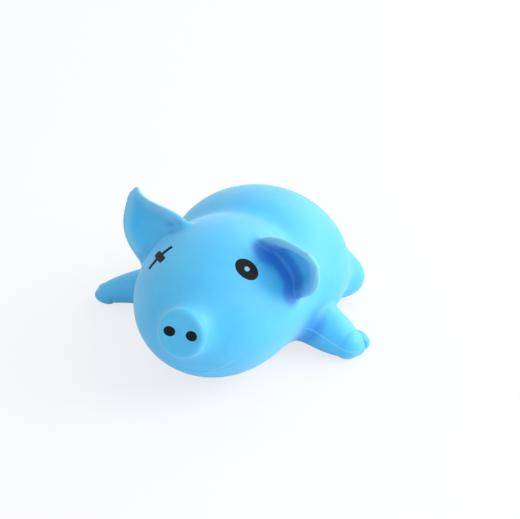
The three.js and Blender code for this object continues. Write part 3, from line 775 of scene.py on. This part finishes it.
def add_snout(bm):
    """A plain cylinder from the snout's face back into the head."""
    turn = Vector(SNOUT["axis"]).to_track_quat("Z", "Y").to_matrix().to_4x4()
    back_end = SNOUT["face"] - SNOUT["axis"] * SNOUT["deep"]
    bmesh.ops.create_cone(
        bm, cap_ends=True, segments=40,
        radius1=SNOUT["radius"], radius2=SNOUT["radius"], depth=SNOUT["deep"],
        matrix=Matrix.Translation(Vector(back_end + SNOUT["axis"] * SNOUT["deep"] / 2)) @ turn,
    )


def add_leg(bm, leg):
    for spot in along_bend(leg["bend"], BEND_SHARES)[0]:
        bmesh.ops.create_icosphere(bm, subdivisions=3, radius=spot[3], matrix=Matrix.Translation(spot[:3]))
    for centre in leg["toes"]:
        basis = Matrix([leg["across"], leg["ahead"], [0, 0, 1]]).transposed().to_4x4()
        matrix = Matrix.Translation(centre) @ basis @ Matrix.Diagonal((*leg["toe"], 1.0))
        bmesh.ops.create_icosphere(bm, subdivisions=3, radius=1.0, matrix=matrix)


def add_ear(bm, ear):
    grid = bmesh.ops.create_grid(bm, x_segments=24, y_segments=30, size=1.0)["verts"]
    flat = np.array([v.co for v in grid])
    buried, past = EAR_BURIED / ear["length"], EAR_RIM / 2
    share = (flat[:, 1] + 1) / 2 * (1 + buried + past / ear["length"]) - buried
    along, halves, curl, radius = ear_curl(share, ear)
    lean, droop = ear_sway(along, ear)
    widen = widening(flat[:, 0], halves)
    angle = flat[:, 0] * (curl + past / (radius * widen))
    ring = radius + sunken(inside_outline(angle * radius * widen, share * ear["length"], ear), ear)
    out = widen * ring * np.sin(angle) + lean
    back = ring * np.cos(angle) - radius * np.cos(curl) + droop - EAR_RIM / 2
    spots = out[:, None] * ear["outwards"] + share[:, None] * ear["length"] * ear["up"]
    place(grid, ear["foot"] + (spots + back[:, None] * ear["behind"]))
    faces = list({face for vert in grid for face in vert.link_faces})
    thick = bmesh.ops.extrude_face_region(bm, geom=faces)["geom"]
    moved = [part for part in thick if isinstance(part, bmesh.types.BMVert)]
    bmesh.ops.translate(bm, verts=moved, vec=Vector(ear["behind"] * EAR_RIM))


def rough_pig():
    bm = bmesh.new()
    add_ball(bm, TORSO)
    add_ball(bm, HEAD)
    add_snout(bm)
    for leg in LEGS.values():
        add_leg(bm, leg)
    for ear in EARS.values():
        add_ear(bm, ear)
    for spot in tail_path[::4]:
        bmesh.ops.create_icosphere(bm, subdivisions=2, radius=spot[3], matrix=Matrix.Translation(spot[:3]))
    bmesh.ops.recalc_face_normals(bm, faces=bm.faces)
    return bm


# %% Remesh and settle
def remeshed(bm, voxel):
    """The union of closed shells as one net of even squares."""
    mesh = bpy.data.meshes.new("clay")
    bm.to_mesh(mesh)
    bm.free()
    clay = in_scene("clay", mesh)
    remesh = clay.modifiers.new("remesh", "REMESH")
    remesh.mode = "VOXEL"
    remesh.voxel_size = voxel
    made = bmesh.new()
    made.from_object(clay, bpy.context.evaluated_depsgraph_get())
    bpy.data.objects.remove(clay)
    bpy.data.meshes.remove(mesh)
    return made


def smooth_and_settle(bm):
    place(bm.verts, settled(coordinates(bm)))
    axes = {"use_axis_x": True, "use_axis_y": True, "use_axis_z": True}
    for _ in range(2):
        bmesh.ops.smooth_vert(bm, verts=bm.verts, factor=0.5, **axes)
    place(bm.verts, settled(coordinates(bm), rounds=3))


skin = remeshed(rough_pig(), VOXEL)
smooth_and_settle(skin)
print("skin:", len(skin.verts), "vertices", len(skin.faces), "faces")

# %% [markdown]
# ## Finer net where the detail is
# The nostrils, the smile, the cleft hooves and the mould's parting line are narrower than two squares of the
# net. A finer voxel would make the whole toy heavy, so only the edges near these places are subdivided, and
# those on the hair-thin parting line twice.


# %% Finer net
DETAIL = {"line": 1.5, "nostril": 4.5, "round_toe": 1.5}  # how far off each the finer net reaches


def wants_detail(points):
    near = np.zeros(len(points), bool)
    for line, _, _ in FINE_LINES:
        near |= line_distance(points, line)[0] < DETAIL["line"]
    for centre in NOSTRILS.values():
        near |= np.linalg.norm(points - centre, axis=1) < DETAIL["nostril"]
    for leg in LEGS.values():
        for toe in leg["toes"]:
            near |= np.linalg.norm(points - toe, axis=1) < leg["toe"][1] + DETAIL["round_toe"]
    return near


def on_parting_line(points):
    return line_distance(points, parting_line)[0] < 3 * PARTING_WIDTH


def refine(bm, wanted):
    near = wanted(coordinates(bm))
    bm.verts.index_update()
    edges = [edge for edge in bm.edges if near[edge.verts[0].index] and near[edge.verts[1].index]]
    bmesh.ops.subdivide_edges(bm, edges=edges, cuts=1, use_grid_fill=True)


refine(skin, wants_detail)
smooth_and_settle(skin)
refine(skin, on_parting_line)
place(skin.verts, settled(coordinates(skin), rounds=3))
print("refined:", len(skin.verts), "vertices", len(skin.faces), "faces")

# %% [markdown]
# ## Parting the limbs
# The real skin has no seam, but ears and legs bend, and a mesh bends smoothly only where it is told which
# stretch goes over from one body to the other. So the skin is cut in a plane across each limb, just before
# the limb starts to bend.

# %% Where each limb bends
LEG_BEND = 5.0  # length of the stretch that bends
EAR_BEND = 7.0
EAR_RISE = 2.4  # how far over the head an ear starts to bend
CUT_LEAD = 0.4  # how far before the bend the skin is cut
LIMB_WIDTH = 12.0  # more than half the width of any limb


def hinge_of(body):
    return next(np.array(joint["pos_m"]) / MM for joint in frame["joints"] if joint["child"] == body)


def leg_bend_start(name, leg):
    """The place on a leg's middle line that its hinge is nearest to, and the way of the line there."""
    share = np.linspace(0, 1, 200)
    places, ways, _ = along_bend(leg["bend"], share)
    nearest = np.linalg.norm(places[:, :3] - hinge_of(f"{name}_leg"), axis=1).argmin()
    return places[nearest, :3], unit(ways[nearest, :3])


def ear_bend_start(ear):
    """The place over an ear's foot where the leaf has left the head, and the way it leaves."""
    heights = np.linspace(0, 10, 101)
    over_head = lobe_field(ear["foot"] + heights[:, None] * ear["away"], HEAD)
    return ear["foot"] + ear["away"] * np.interp(EAR_RISE, over_head, heights), ear["away"]


LIMBS = {}
for name, leg in LEGS.items():
    tip = np.mean(leg["toes"], axis=0)
    LIMBS[f"{name}_leg"] = {"bend": leg_bend_start(name, leg), "length": LEG_BEND, "tip": tip}
for name, ear in EARS.items():
    tip = ear["foot"] + ear["up"] * ear["length"] + ear["outwards"] * ear["lean"]
    LIMBS[f"ear_{name}"] = {"bend": ear_bend_start(ear), "length": EAR_BEND, "tip": tip}


# %% Cutting the skin
def cut_across(bm, limb):
    """Cuts the faces that a limb's plane crosses near the limb."""
    start, way = limb["bend"]
    spot = start - way * CUT_LEAD
    reach = np.linalg.norm(limb["tip"] - spot) + LIMB_WIDTH
    points = coordinates(bm)
    bm.verts.index_update()
    height = (points - spot) @ way
    close = (np.linalg.norm(points - limb["tip"], axis=1) < reach) & (np.abs(height) < 3 * VOXEL)
    faces = []
    for face in bm.faces:
        rows = [vert.index for vert in face.verts]
        if close[rows].all() and height[rows].min() < 0 < height[rows].max():
            faces.append(face)
    parts = {part for face in faces for part in (face, *face.edges, *face.verts)}
    bmesh.ops.bisect_plane(bm, geom=list(parts), dist=1e-4, plane_co=Vector(spot), plane_no=Vector(way))


def faces_beyond(bm, limb):
    """Every face that can be reached from a limb's tip without crossing its plane."""
    start, way = limb["bend"]
    spot, way = Vector(start - way * CUT_LEAD), Vector(way)
    tip = Vector(limb["tip"])
    first = min(bm.faces, key=lambda face: (face.calc_center_median() - tip).length_squared)
    found, fresh = {first}, [first]
    while fresh:
        for edge in fresh.pop().edges:
            for face in edge.link_faces:
                if face not in found and (face.calc_center_median() - spot).dot(way) > 0:
                    found.add(face)
                    fresh.append(face)
    return found


owner = skin.faces.layers.int.new("limb")
for number, (name, limb) in enumerate(LIMBS.items(), start=1):
    cut_across(skin, limb)
    for face in faces_beyond(skin, limb):
        face[owner] = number
print({name: sum(face[owner] == n for face in skin.faces) for n, name in enumerate(["skin", *LIMBS])})

# %% [markdown]
# ## What the surface knows about itself
# Three things are worked out while the skin is still whole, and kept on its vertices. The first is the way
# in which the distance grows there, which shades smoothly across every cut. The second is how near an ear's
# thin rim or the parting line is, where the blue gets a painted glow, paler, for light that comes through the
# rubber. The third is how hollow the place is, where a fold gets a painted shade of deeper blue.


# %% Normals, and masks for a painted glow on rims and a painted shade in hollows
# Widths and steps of two painted effects: a paler glow on rims, and a deeper painted shade in hollows.
GLOW_WIDTH = 2.0
GLOW_RISE = 3  # a rim turns pale over the first third of its ear
HOLLOW_SHADE_STEPS = (2.5, 5.0, 9.0)
HOLLOW_SHADE_RANGE = {"from": 0.16, "to": 0.46}


def unit_rows(rows):
    return rows / np.linalg.norm(rows, axis=1)[:, None]


def rim_glow_mask(points):
    """Where the blue is painted paler as a glow: 1 on an ear's rim or on the mould's parting line, and 0 well
    off them.
    """
    nearness = np.zeros(len(points))
    for ear in EARS.values():
        share, _, _, inwards, _ = ear_place(points, ear)
        risen = smooth_step(share * GLOW_RISE) * (ear_field(points, ear) < 1.0)
        nearness = np.maximum(nearness, bell(inwards, GLOW_WIDTH) * risen)
    distance, share = line_distance(points, parting_line)
    return np.maximum(nearness, bell(distance, PARTING_WIDTH) * np.sin(np.pi * share) ** 0.25)


def hollowness(points, normals):
    """How deep in a fold a place lies, for the painted shade of folds: off the skin in a fold, other skin is
    nearer than the way gone.
    """
    shares = []
    for way in HOLLOW_SHADE_STEPS:
        shares.append(1 - smooth_field(points + normals * way) / way)
    return smooth_step((np.mean(shares, axis=0) - HOLLOW_SHADE_RANGE["from"]) / (HOLLOW_SHADE_RANGE["to"] - HOLLOW_SHADE_RANGE["from"]))


skin_points = coordinates(skin)
skin_normals = unit_rows(slope_of(skin_field, skin_points))
skin_hollows = hollowness(skin_points, skin_normals)
normal_layer = skin.verts.layers.float_vector.new("lie")
# Two layers carry painted light: a paler glow near rims, and a deeper shade in hollows.
rim_glow_layer = skin.verts.layers.float.new("rim")
hollow_layer = skin.verts.layers.float.new("hollow")
for vert, normal, rim, hollow in zip(skin.verts, skin_normals, rim_glow_mask(skin_points), skin_hollows):
    vert[normal_layer] = normal
    vert[rim_glow_layer] = rim
    vert[hollow_layer] = hollow
print("in a hollow:", int((skin_hollows > 0.5).sum()), "of", len(skin_hollows), "vertices")

# %% [markdown]
# ## Rubber
# The toy is moulded in a thermoplastic rubber that feels like firm jelly. It is satin rather than glossy,
# with a fine grain from the mould, a soft bloom at grazing angles, and dust that clings to it. Thin places
# get a painted glow, paler, for light that comes through, and hollows a painted shade, deeper. Clouds,
# grain and dust are worked out from Object coordinates, which stay with the mesh; the painted glow and
# shade come from the skin's own attributes. Subsurface scattering could do the same, but it is slow and
# an export loses it.


# %% Rubber material
# Two of these colours are painted light: a deeper blue painted as shade in hollows and folds, and a paler
# blue painted as the glow of light through thin rims. The others are the rubber's own tones and its dust.
RUBBER = {"deep": "2fbaf3", "light": "4dc8f7", "hollow": "0c82de", "thin": "8ed8f9", "dust": "d9eef7"}
RUBBER_GRAIN = 0.022  # depth of the relief in millimetres


def rubber_material():
    g = Graph(bpy.data.materials.new("sky_blue_rubber"))
    rim, hollow = (g.node("ShaderNodeAttribute", {"attribute_name": name})[2] for name in ("rim", "hollow"))
    clouds = g.noise(26.0, 3.0, 0.55)
    mottle = g.noise(3.5, 4.0, 0.6)
    tone = (clouds - 0.5) * 0.7 + (mottle - 0.5) * 0.3 + 0.5
    colour = g.mixed(tone.between(0.2, 0.8), RUBBER["deep"], RUBBER["light"])
    # Painted shade: hollows and folds are painted a deeper blue.
    colour = g.mixed(hollow * 0.85, colour, RUBBER["hollow"])
    # Painted glow: ear rims and the parting line are painted a paler blue, as light through thin rubber would
    # make them.
    colour = g.mixed(rim * 0.6, colour, RUBBER["thin"])
    dust = g.specks(1.1, 0.09) * g.noise(9.0).between(0.45, 0.6)
    colour = g.mixed(dust * 0.5, colour, RUBBER["dust"])
    grain = g.noise(0.28, 2.0, 0.6) * 0.35 + g.noise(1.3, 3.0, 0.6) * 0.45 + dust * 0.5
    return principled(
        g, Base_Color=colour, Roughness=0.48 + mottle * 0.1 + dust * 0.2, IOR=1.46, Specular_IOR_Level=1.0,
        Normal=g.bumped(grain, RUBBER_GRAIN),
        Sheen_Weight=0.42, Sheen_Roughness=0.5, Sheen_Tint=rgba("d8eef8"),
    )


rubber = rubber_material()
print("rubber:", len(rubber.node_tree.nodes), "nodes")


# %% Skin pieces
def piece_of(bm, name, material, lie=None, caps=()):
    """Makes a bmesh in millimetres a smooth piece in metres, with the skin's own normals off its caps."""
    bm.verts.index_update()
    normals = []
    if lie is not None:
        for face in bm.faces:
            normals += [face.normal if face in caps else vert[lie] for vert in face.verts]
    mesh = bpy.data.meshes.new(name)
    bm.to_mesh(mesh)
    mesh.shade_smooth()
    if normals:
        mesh.normals_split_custom_set(normals)
    mesh.transform(Matrix.Scale(MM, 4))
    mesh.materials.append(material)
    made = in_scene(name, mesh)
    return made


def split_off(whole, number, name):
    """A copy of one limb's faces, or of the body's, with the cuts closed."""
    bm = whole.copy()
    layer = bm.faces.layers.int["limb"]
    bmesh.ops.delete(bm, geom=[face for face in bm.faces if face[layer] != number], context="FACES")
    open_edges = [edge for edge in bm.edges if edge.is_boundary]
    caps = set(bmesh.ops.holes_fill(bm, edges=open_edges)["faces"])
    bmesh.ops.recalc_face_normals(bm, faces=bm.faces)
    return piece_of(bm, name, rubber, bm.verts.layers.float_vector["lie"], caps)


body_skin = split_off(skin, 0, "body_skin")
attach(body_skin, "body")
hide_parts("torso_skin", "head_skin", "snout", "tail")
for number, (name, limb) in enumerate(LIMBS.items(), start=1):
    flap = split_off(skin, number, f"{name}_skin")
    start, way = limb["bend"]
    tuple(start * MM)
    tuple((start + way * limb["length"]) * MM)
    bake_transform(flap)
    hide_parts(name, f"ear_root_{name[4:]}" if name.startswith("ear") else f"{name}_root")
    print(name, "skin:", len(flap.data.polygons), "faces, bends from", start.round(1))
skin.free()

# %% [markdown]
# ## The printed face
# The eye, the wink and the nostrils are dabs of black ink. Ink could be painted on with a shader mask, but
# a print has a body: it stands a hair proud of the rubber and has a soft, slightly uneven edge. So each mark
# is a thin closed film whose top and underside follow the skin.

# %% Laying a film on the skin
INK_OVER = 0.07
INK_UNDER = 0.15
PRINT_WOBBLE = 0.012  # how uneven a printed edge is, as a share of its radius


def mark_frame(bearing, rise):
    """A place on the head, with the ways across and along it that a mark is drawn in, and the way out."""
    point, normal = on_lobe(HEAD, bearing, rise)
    ahead = np.array([0.0, -1.0, 0.0])
    ahead = unit(ahead - ahead @ normal * normal)
    return point, np.cross(normal, ahead), -ahead, normal


def sliced(bm, half, step):
    """Cuts flat faces into squares, so that they can follow a curved skin."""
    for axis in (Vector((1, 0, 0)), Vector((0, 1, 0))):
        for offset in np.arange(-half, half, step):
            parts = [*bm.verts, *bm.edges, *bm.faces]
            bmesh.ops.bisect_plane(bm, geom=parts, dist=1e-4, plane_co=axis * offset, plane_no=axis)


def film_on(bm, spot):
    """Lays a flat outline on the skin and gives it a body of ink."""
    point, across, along, normal = spot
    flat = coordinates(bm)
    place(bm.verts, point + flat[:, :1] * across + flat[:, 1:2] * along)
    thick = bmesh.ops.extrude_face_region(bm, geom=list(bm.faces))["geom"]
    under = {part for part in thick if isinstance(part, bmesh.types.BMVert)}
    upper = [vert for vert in bm.verts if vert not in under]
    under = list(under)
    for verts, level in ((upper, INK_OVER), (under, -INK_UNDER)):
        place(verts, settled(np.array([vert.co for vert in verts]), level))
    bmesh.ops.recalc_face_normals(bm, faces=bm.faces)
    return bm


def uneven(angles, seed, amount):
    """A wobble of a printed edge, the same in every run."""
    rng = np.random.default_rng(seed)
    waves = [np.sin(angles * k + rng.uniform(0, 2 * np.pi)) / k for k in (2, 3, 5, 8)]
    return 1 + amount * sum(waves)


# %% Ink material
INK_GRAIN = 0.02


def ink_material():
    g = Graph(bpy.data.materials.new("black_ink"))
    mottle = g.noise(0.9, 3.0, 0.6)
    colour = g.mixed(mottle.between(0.3, 0.7), "0a0a0b", "151516")
    colour = g.mixed(g.specks(0.8, 0.1) * 0.35, colour, "5f6d76")
    grain = g.noise(0.3, 2.0, 0.6) * 0.5 + g.noise(1.2) * 0.5
    return principled(
        g, Base_Color=colour, Roughness=0.45 + mottle * 0.16, IOR=1.4, Specular_IOR_Level=0.25,
        Normal=g.bumped(grain, INK_GRAIN),
    )


ink = ink_material()
print("ink:", len(ink.node_tree.nodes), "nodes")


# %% The open eye
EYE = {"bearing": 56.9, "rise": 53.6, "half_length": 4.75, "half_width": 3.85, "turn": -12.0, "glint": 1.03}
GLINT_GAP = 0.02
GLINT_SEED = 5
FILM_STEP = 0.5  # the squares that a film is cut into


def ellipse(bm, half_length, half_width, turn, seed, cap=False):
    """A loop of vertices on a slightly uneven ellipse."""
    loop = bmesh.ops.create_circle(bm, cap_ends=cap, segments=72, radius=1.0)["verts"]
    angles = np.array([math.atan2(vert.co.y, vert.co.x) for vert in loop])
    size = uneven(angles, seed, PRINT_WOBBLE)
    x, y = np.cos(angles) * half_length * size, np.sin(angles) * half_width * size
    c, s = math.cos(math.radians(turn)), math.sin(math.radians(turn))
    place(loop, np.stack([c * x - s * y, s * x + c * y, np.zeros(len(loop))], axis=1))


def eye_ring():
    bm = bmesh.new()
    ellipse(bm, EYE["half_length"], EYE["half_width"], EYE["turn"], seed=3)
    ellipse(bm, EYE["glint"], EYE["glint"], 0.0, GLINT_SEED)
    spokes = bmesh.ops.bridge_loops(bm, edges=bm.edges)["edges"]
    bmesh.ops.subdivide_edges(bm, edges=spokes, cuts=6, use_grid_fill=True)
    return film_on(bm, mark_frame(EYE["bearing"], EYE["rise"]))


def eye_spot():
    bm = bmesh.new()
    ellipse(bm, EYE["glint"] - GLINT_GAP, EYE["glint"] - GLINT_GAP, 0.0, GLINT_SEED, cap=True)
    sliced(bm, EYE["glint"], FILM_STEP)
    return film_on(bm, mark_frame(EYE["bearing"], EYE["rise"]))


# %% The wink: a thin, slightly bent bar crossed by a short pad
WINK = {
    "bearing": -58.9, "rise": 46.9, "turn": 38.6, "bow": 0.3,
    "bar": (5.9, 0.98), "bar_tip": 0.78, "bar_round": 0.15, "pad": (1.45, 3.95), "pad_round": 0.85,
}
PAD_TAPER = 0.94
WINK_STEP = 0.55


def wink_mark():
    bar, thick = WINK["bar"]
    wide, tall = WINK["pad"]
    quarter = [(bar, WINK["bar_tip"]), (wide, thick), (wide * PAD_TAPER, tall)]
    corners = []
    for sx, sy, way in ((1, 1, 1), (-1, 1, -1), (-1, -1, 1), (1, -1, -1)):
        corners += [(sx * x, sy * y, 0.0) for x, y in quarter[::way]]
    bm = bmesh.new()
    bm.faces.new([bm.verts.new(corner) for corner in corners])
    roundings = ((1, 2 * thick, WINK["pad_round"], 6), (0, 2 * wide, WINK["bar_round"], 3))
    for axis, past, offset, segments in roundings:
        ends = [vert for vert in bm.verts if abs(vert.co[axis]) > past]
        bmesh.ops.bevel(
            bm, geom=ends, offset=offset, segments=segments, profile=0.5, affect="VERTICES", material=-1
        )
    sliced(bm, bar, WINK_STEP)
    for vert in bm.verts:
        vert.co.y += WINK["bow"] * (0.5 - (vert.co.x / bar) ** 2)
    turn = Matrix.Rotation(math.radians(WINK["turn"]), 3, "Z")
    bmesh.ops.rotate(bm, verts=bm.verts, cent=(0, 0, 0), matrix=turn)
    return film_on(bm, mark_frame(WINK["bearing"], WINK["rise"]))


# %% Nostrils: dabs of ink in the snout's dimples
NOSTRIL = {"half_length": 2.05, "half_width": 1.72}


def nostril_mark(centre, seed):
    bm = bmesh.new()
    ellipse(bm, NOSTRIL["half_length"], NOSTRIL["half_width"], 0.0, seed, cap=True)
    sliced(bm, NOSTRIL["half_length"], FILM_STEP)
    return film_on(bm, (centre, np.array([1.0, 0.0, 0.0]), SNOUT["upright"], SNOUT["axis"]))


# %% The bare spot in the eye, and all marks in their places
def glint_material():
    g = Graph(bpy.data.materials.new("bare_spot"))
    colour = g.mixed(g.noise(0.8), "86c6e6", "93d0ec")
    return principled(g, Base_Color=colour, Roughness=0.4 + g.noise(0.6) * 0.1, IOR=1.46)


def add_mark(bm, node, material):
    mark = piece_of(bm, f"{node}_film", material)
    bm.free()
    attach(mark, "body")
    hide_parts(node)
    print(node, "film:", len(mark.data.polygons), "faces")


add_mark(eye_ring(), "eye_mark", ink)
add_mark(eye_spot(), "eye_glint", glint_material())
add_mark(wink_mark(), "wink_mark", ink)
for seed, (side, centre) in enumerate(NOSTRILS.items(), start=11):
    add_mark(nostril_mark(centre, seed), f"nostril_mark_{side}", ink)

# %% [markdown]
# ## Gel and plug
# Inside the skin is clear, thick gel, poured in through a port in the belly that a rubber plug closes. The
# gel can't be seen, so it is a coarse net at the inner wall. The plug is turned like a button on a lathe.

# %% Gel
GEL_DEPTH = 2.7
GEL_VOXEL = 2.6


def gel_body():
    bm = bmesh.new()
    for lobe in (TORSO, HEAD):
        add_ball(bm, lobe)
    bm = remeshed(bm, GEL_VOXEL)
    over_table = settled(coordinates(bm), -GEL_DEPTH, 10, lambda p: np.maximum(body_field(p), -p[:, 2]))
    place(bm.verts, over_table)
    return bm


def gel_material():
    g = Graph(bpy.data.materials.new("clear_gel"))
    colour = g.mixed(g.noise(12.0), "8ccdf0", "a8dcf4")
    return principled(g, Base_Color=colour, Roughness=g.noise(5.0) * 0.1 + 0.1)


gel = piece_of(gel_body(), "gel_body", gel_material())
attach(gel, "body")
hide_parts("gel_filling")
print("gel:", len(gel.data.polygons), "faces")

# %% Plug
# Half of its section, as radius and height, from the middle of its outer face to the middle of its top.
PLUG = [(0.0, 0.62), (1.9, 0.5), (2.55, 0.55), (2.85, 0.85), (2.9, 1.2), (2.9, 2.15), (0.0, 2.15)]


def plug_body():
    bm = bmesh.new()
    verts = [bm.verts.new((PLUG_MIDDLE[0] + radius, PLUG_MIDDLE[1], height)) for radius, height in PLUG]
    edges = [bm.edges.new(pair) for pair in zip(verts, verts[1:])]
    bmesh.ops.spin(
        bm, geom=[*verts, *edges], cent=(PLUG_MIDDLE[0], PLUG_MIDDLE[1], 0), axis=(0, 0, 1),
        angle=2 * math.pi, steps=48, use_merge=True,
    )
    bmesh.ops.remove_doubles(bm, verts=bm.verts, dist=1e-4)
    bmesh.ops.recalc_face_normals(bm, faces=bm.faces)
    return bm


plug = piece_of(plug_body(), "port_plug", rubber)
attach(plug, "body")
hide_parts("filling_plug")
print("plug:", len(plug.data.polygons), "faces")

# %% [markdown]
# ## Floor, world and lamps
# The photograph has a white ground and soft light that is stronger from the pig's left. Brighter lamps would
# whiten the floor but wash out the toy with it, so the floor is part white by itself where the camera sees
# it, the world is white to the camera and to gloss, and both light the toy at a plain level.

# %% Floor and world
FLOOR_HALF = 3.0  # metres
FLOOR_DROP = 0.1  # millimetres under the hooves
FLOOR_WHITE = 0.75  # share of plain white in the floor that the camera sees; the rest shows the shadow
WORLD_LIGHT = 0.66


def make_floor():
    bm = bmesh.new()
    bmesh.ops.create_grid(bm, x_segments=1, y_segments=1, size=FLOOR_HALF)
    mesh = bpy.data.meshes.new("floor")
    bm.to_mesh(mesh)
    bm.free()
    floor = in_scene("floor", mesh)
    floor.location.z = -FLOOR_DROP * MM
    g = Graph(bpy.data.materials.new("white_sweep"))
    diffuse = g.node("ShaderNodeBsdfDiffuse", None, rgba("f4f6f8"))[0]
    white = g.node("ShaderNodeEmission", None, (1, 1, 1, 1), 1.0)[0]
    seen = g.node("ShaderNodeLightPath")[0] * FLOOR_WHITE
    mesh.materials.append(g.finish(g.node("ShaderNodeMixShader", None, seen, diffuse, white)[0]))


def make_world():
    g = Graph(bpy.data.worlds.new("studio"))
    rays = g.node("ShaderNodeLightPath")
    camera_ray, glossy_ray = rays[0], rays[3]
    seen = camera_ray.reckon("MAXIMUM", camera_ray, glossy_ray)
    light = g.node("ShaderNodeBackground", None, (0.93, 0.96, 1.0, 1), WORLD_LIGHT)[0]
    white = g.node("ShaderNodeBackground", None, (1, 1, 1, 1), 1.0)[0]
    mix = g.node("ShaderNodeMixShader", None, seen, light, white)[0]
    bpy.context.scene.world = g.finish(mix, "ShaderNodeOutputWorld")


# %% Lamps
LAMP_DISTANCE = 1000.0
LAMP_SIZE = 0.7  # metres across


def make_lamp(name, bearing, rise, power):
    lamp = bpy.data.lights.new(name, "AREA")
    lamp.shape = "DISK"
    lamp.size = LAMP_SIZE
    lamp.energy = power
    stand_off(in_scene(name, lamp), bearing, rise, LAMP_DISTANCE)


make_floor()
make_world()
make_lamp("key", 110.0, 25.0, 5.0)
make_lamp("high", 85.0, 45.0, 2.4)
make_lamp("back", 160.0, 25.0, 2.2)
bpy.context.scene.view_settings.view_transform = "Standard"
print("lamps:", [lamp.name for lamp in bpy.data.lights])
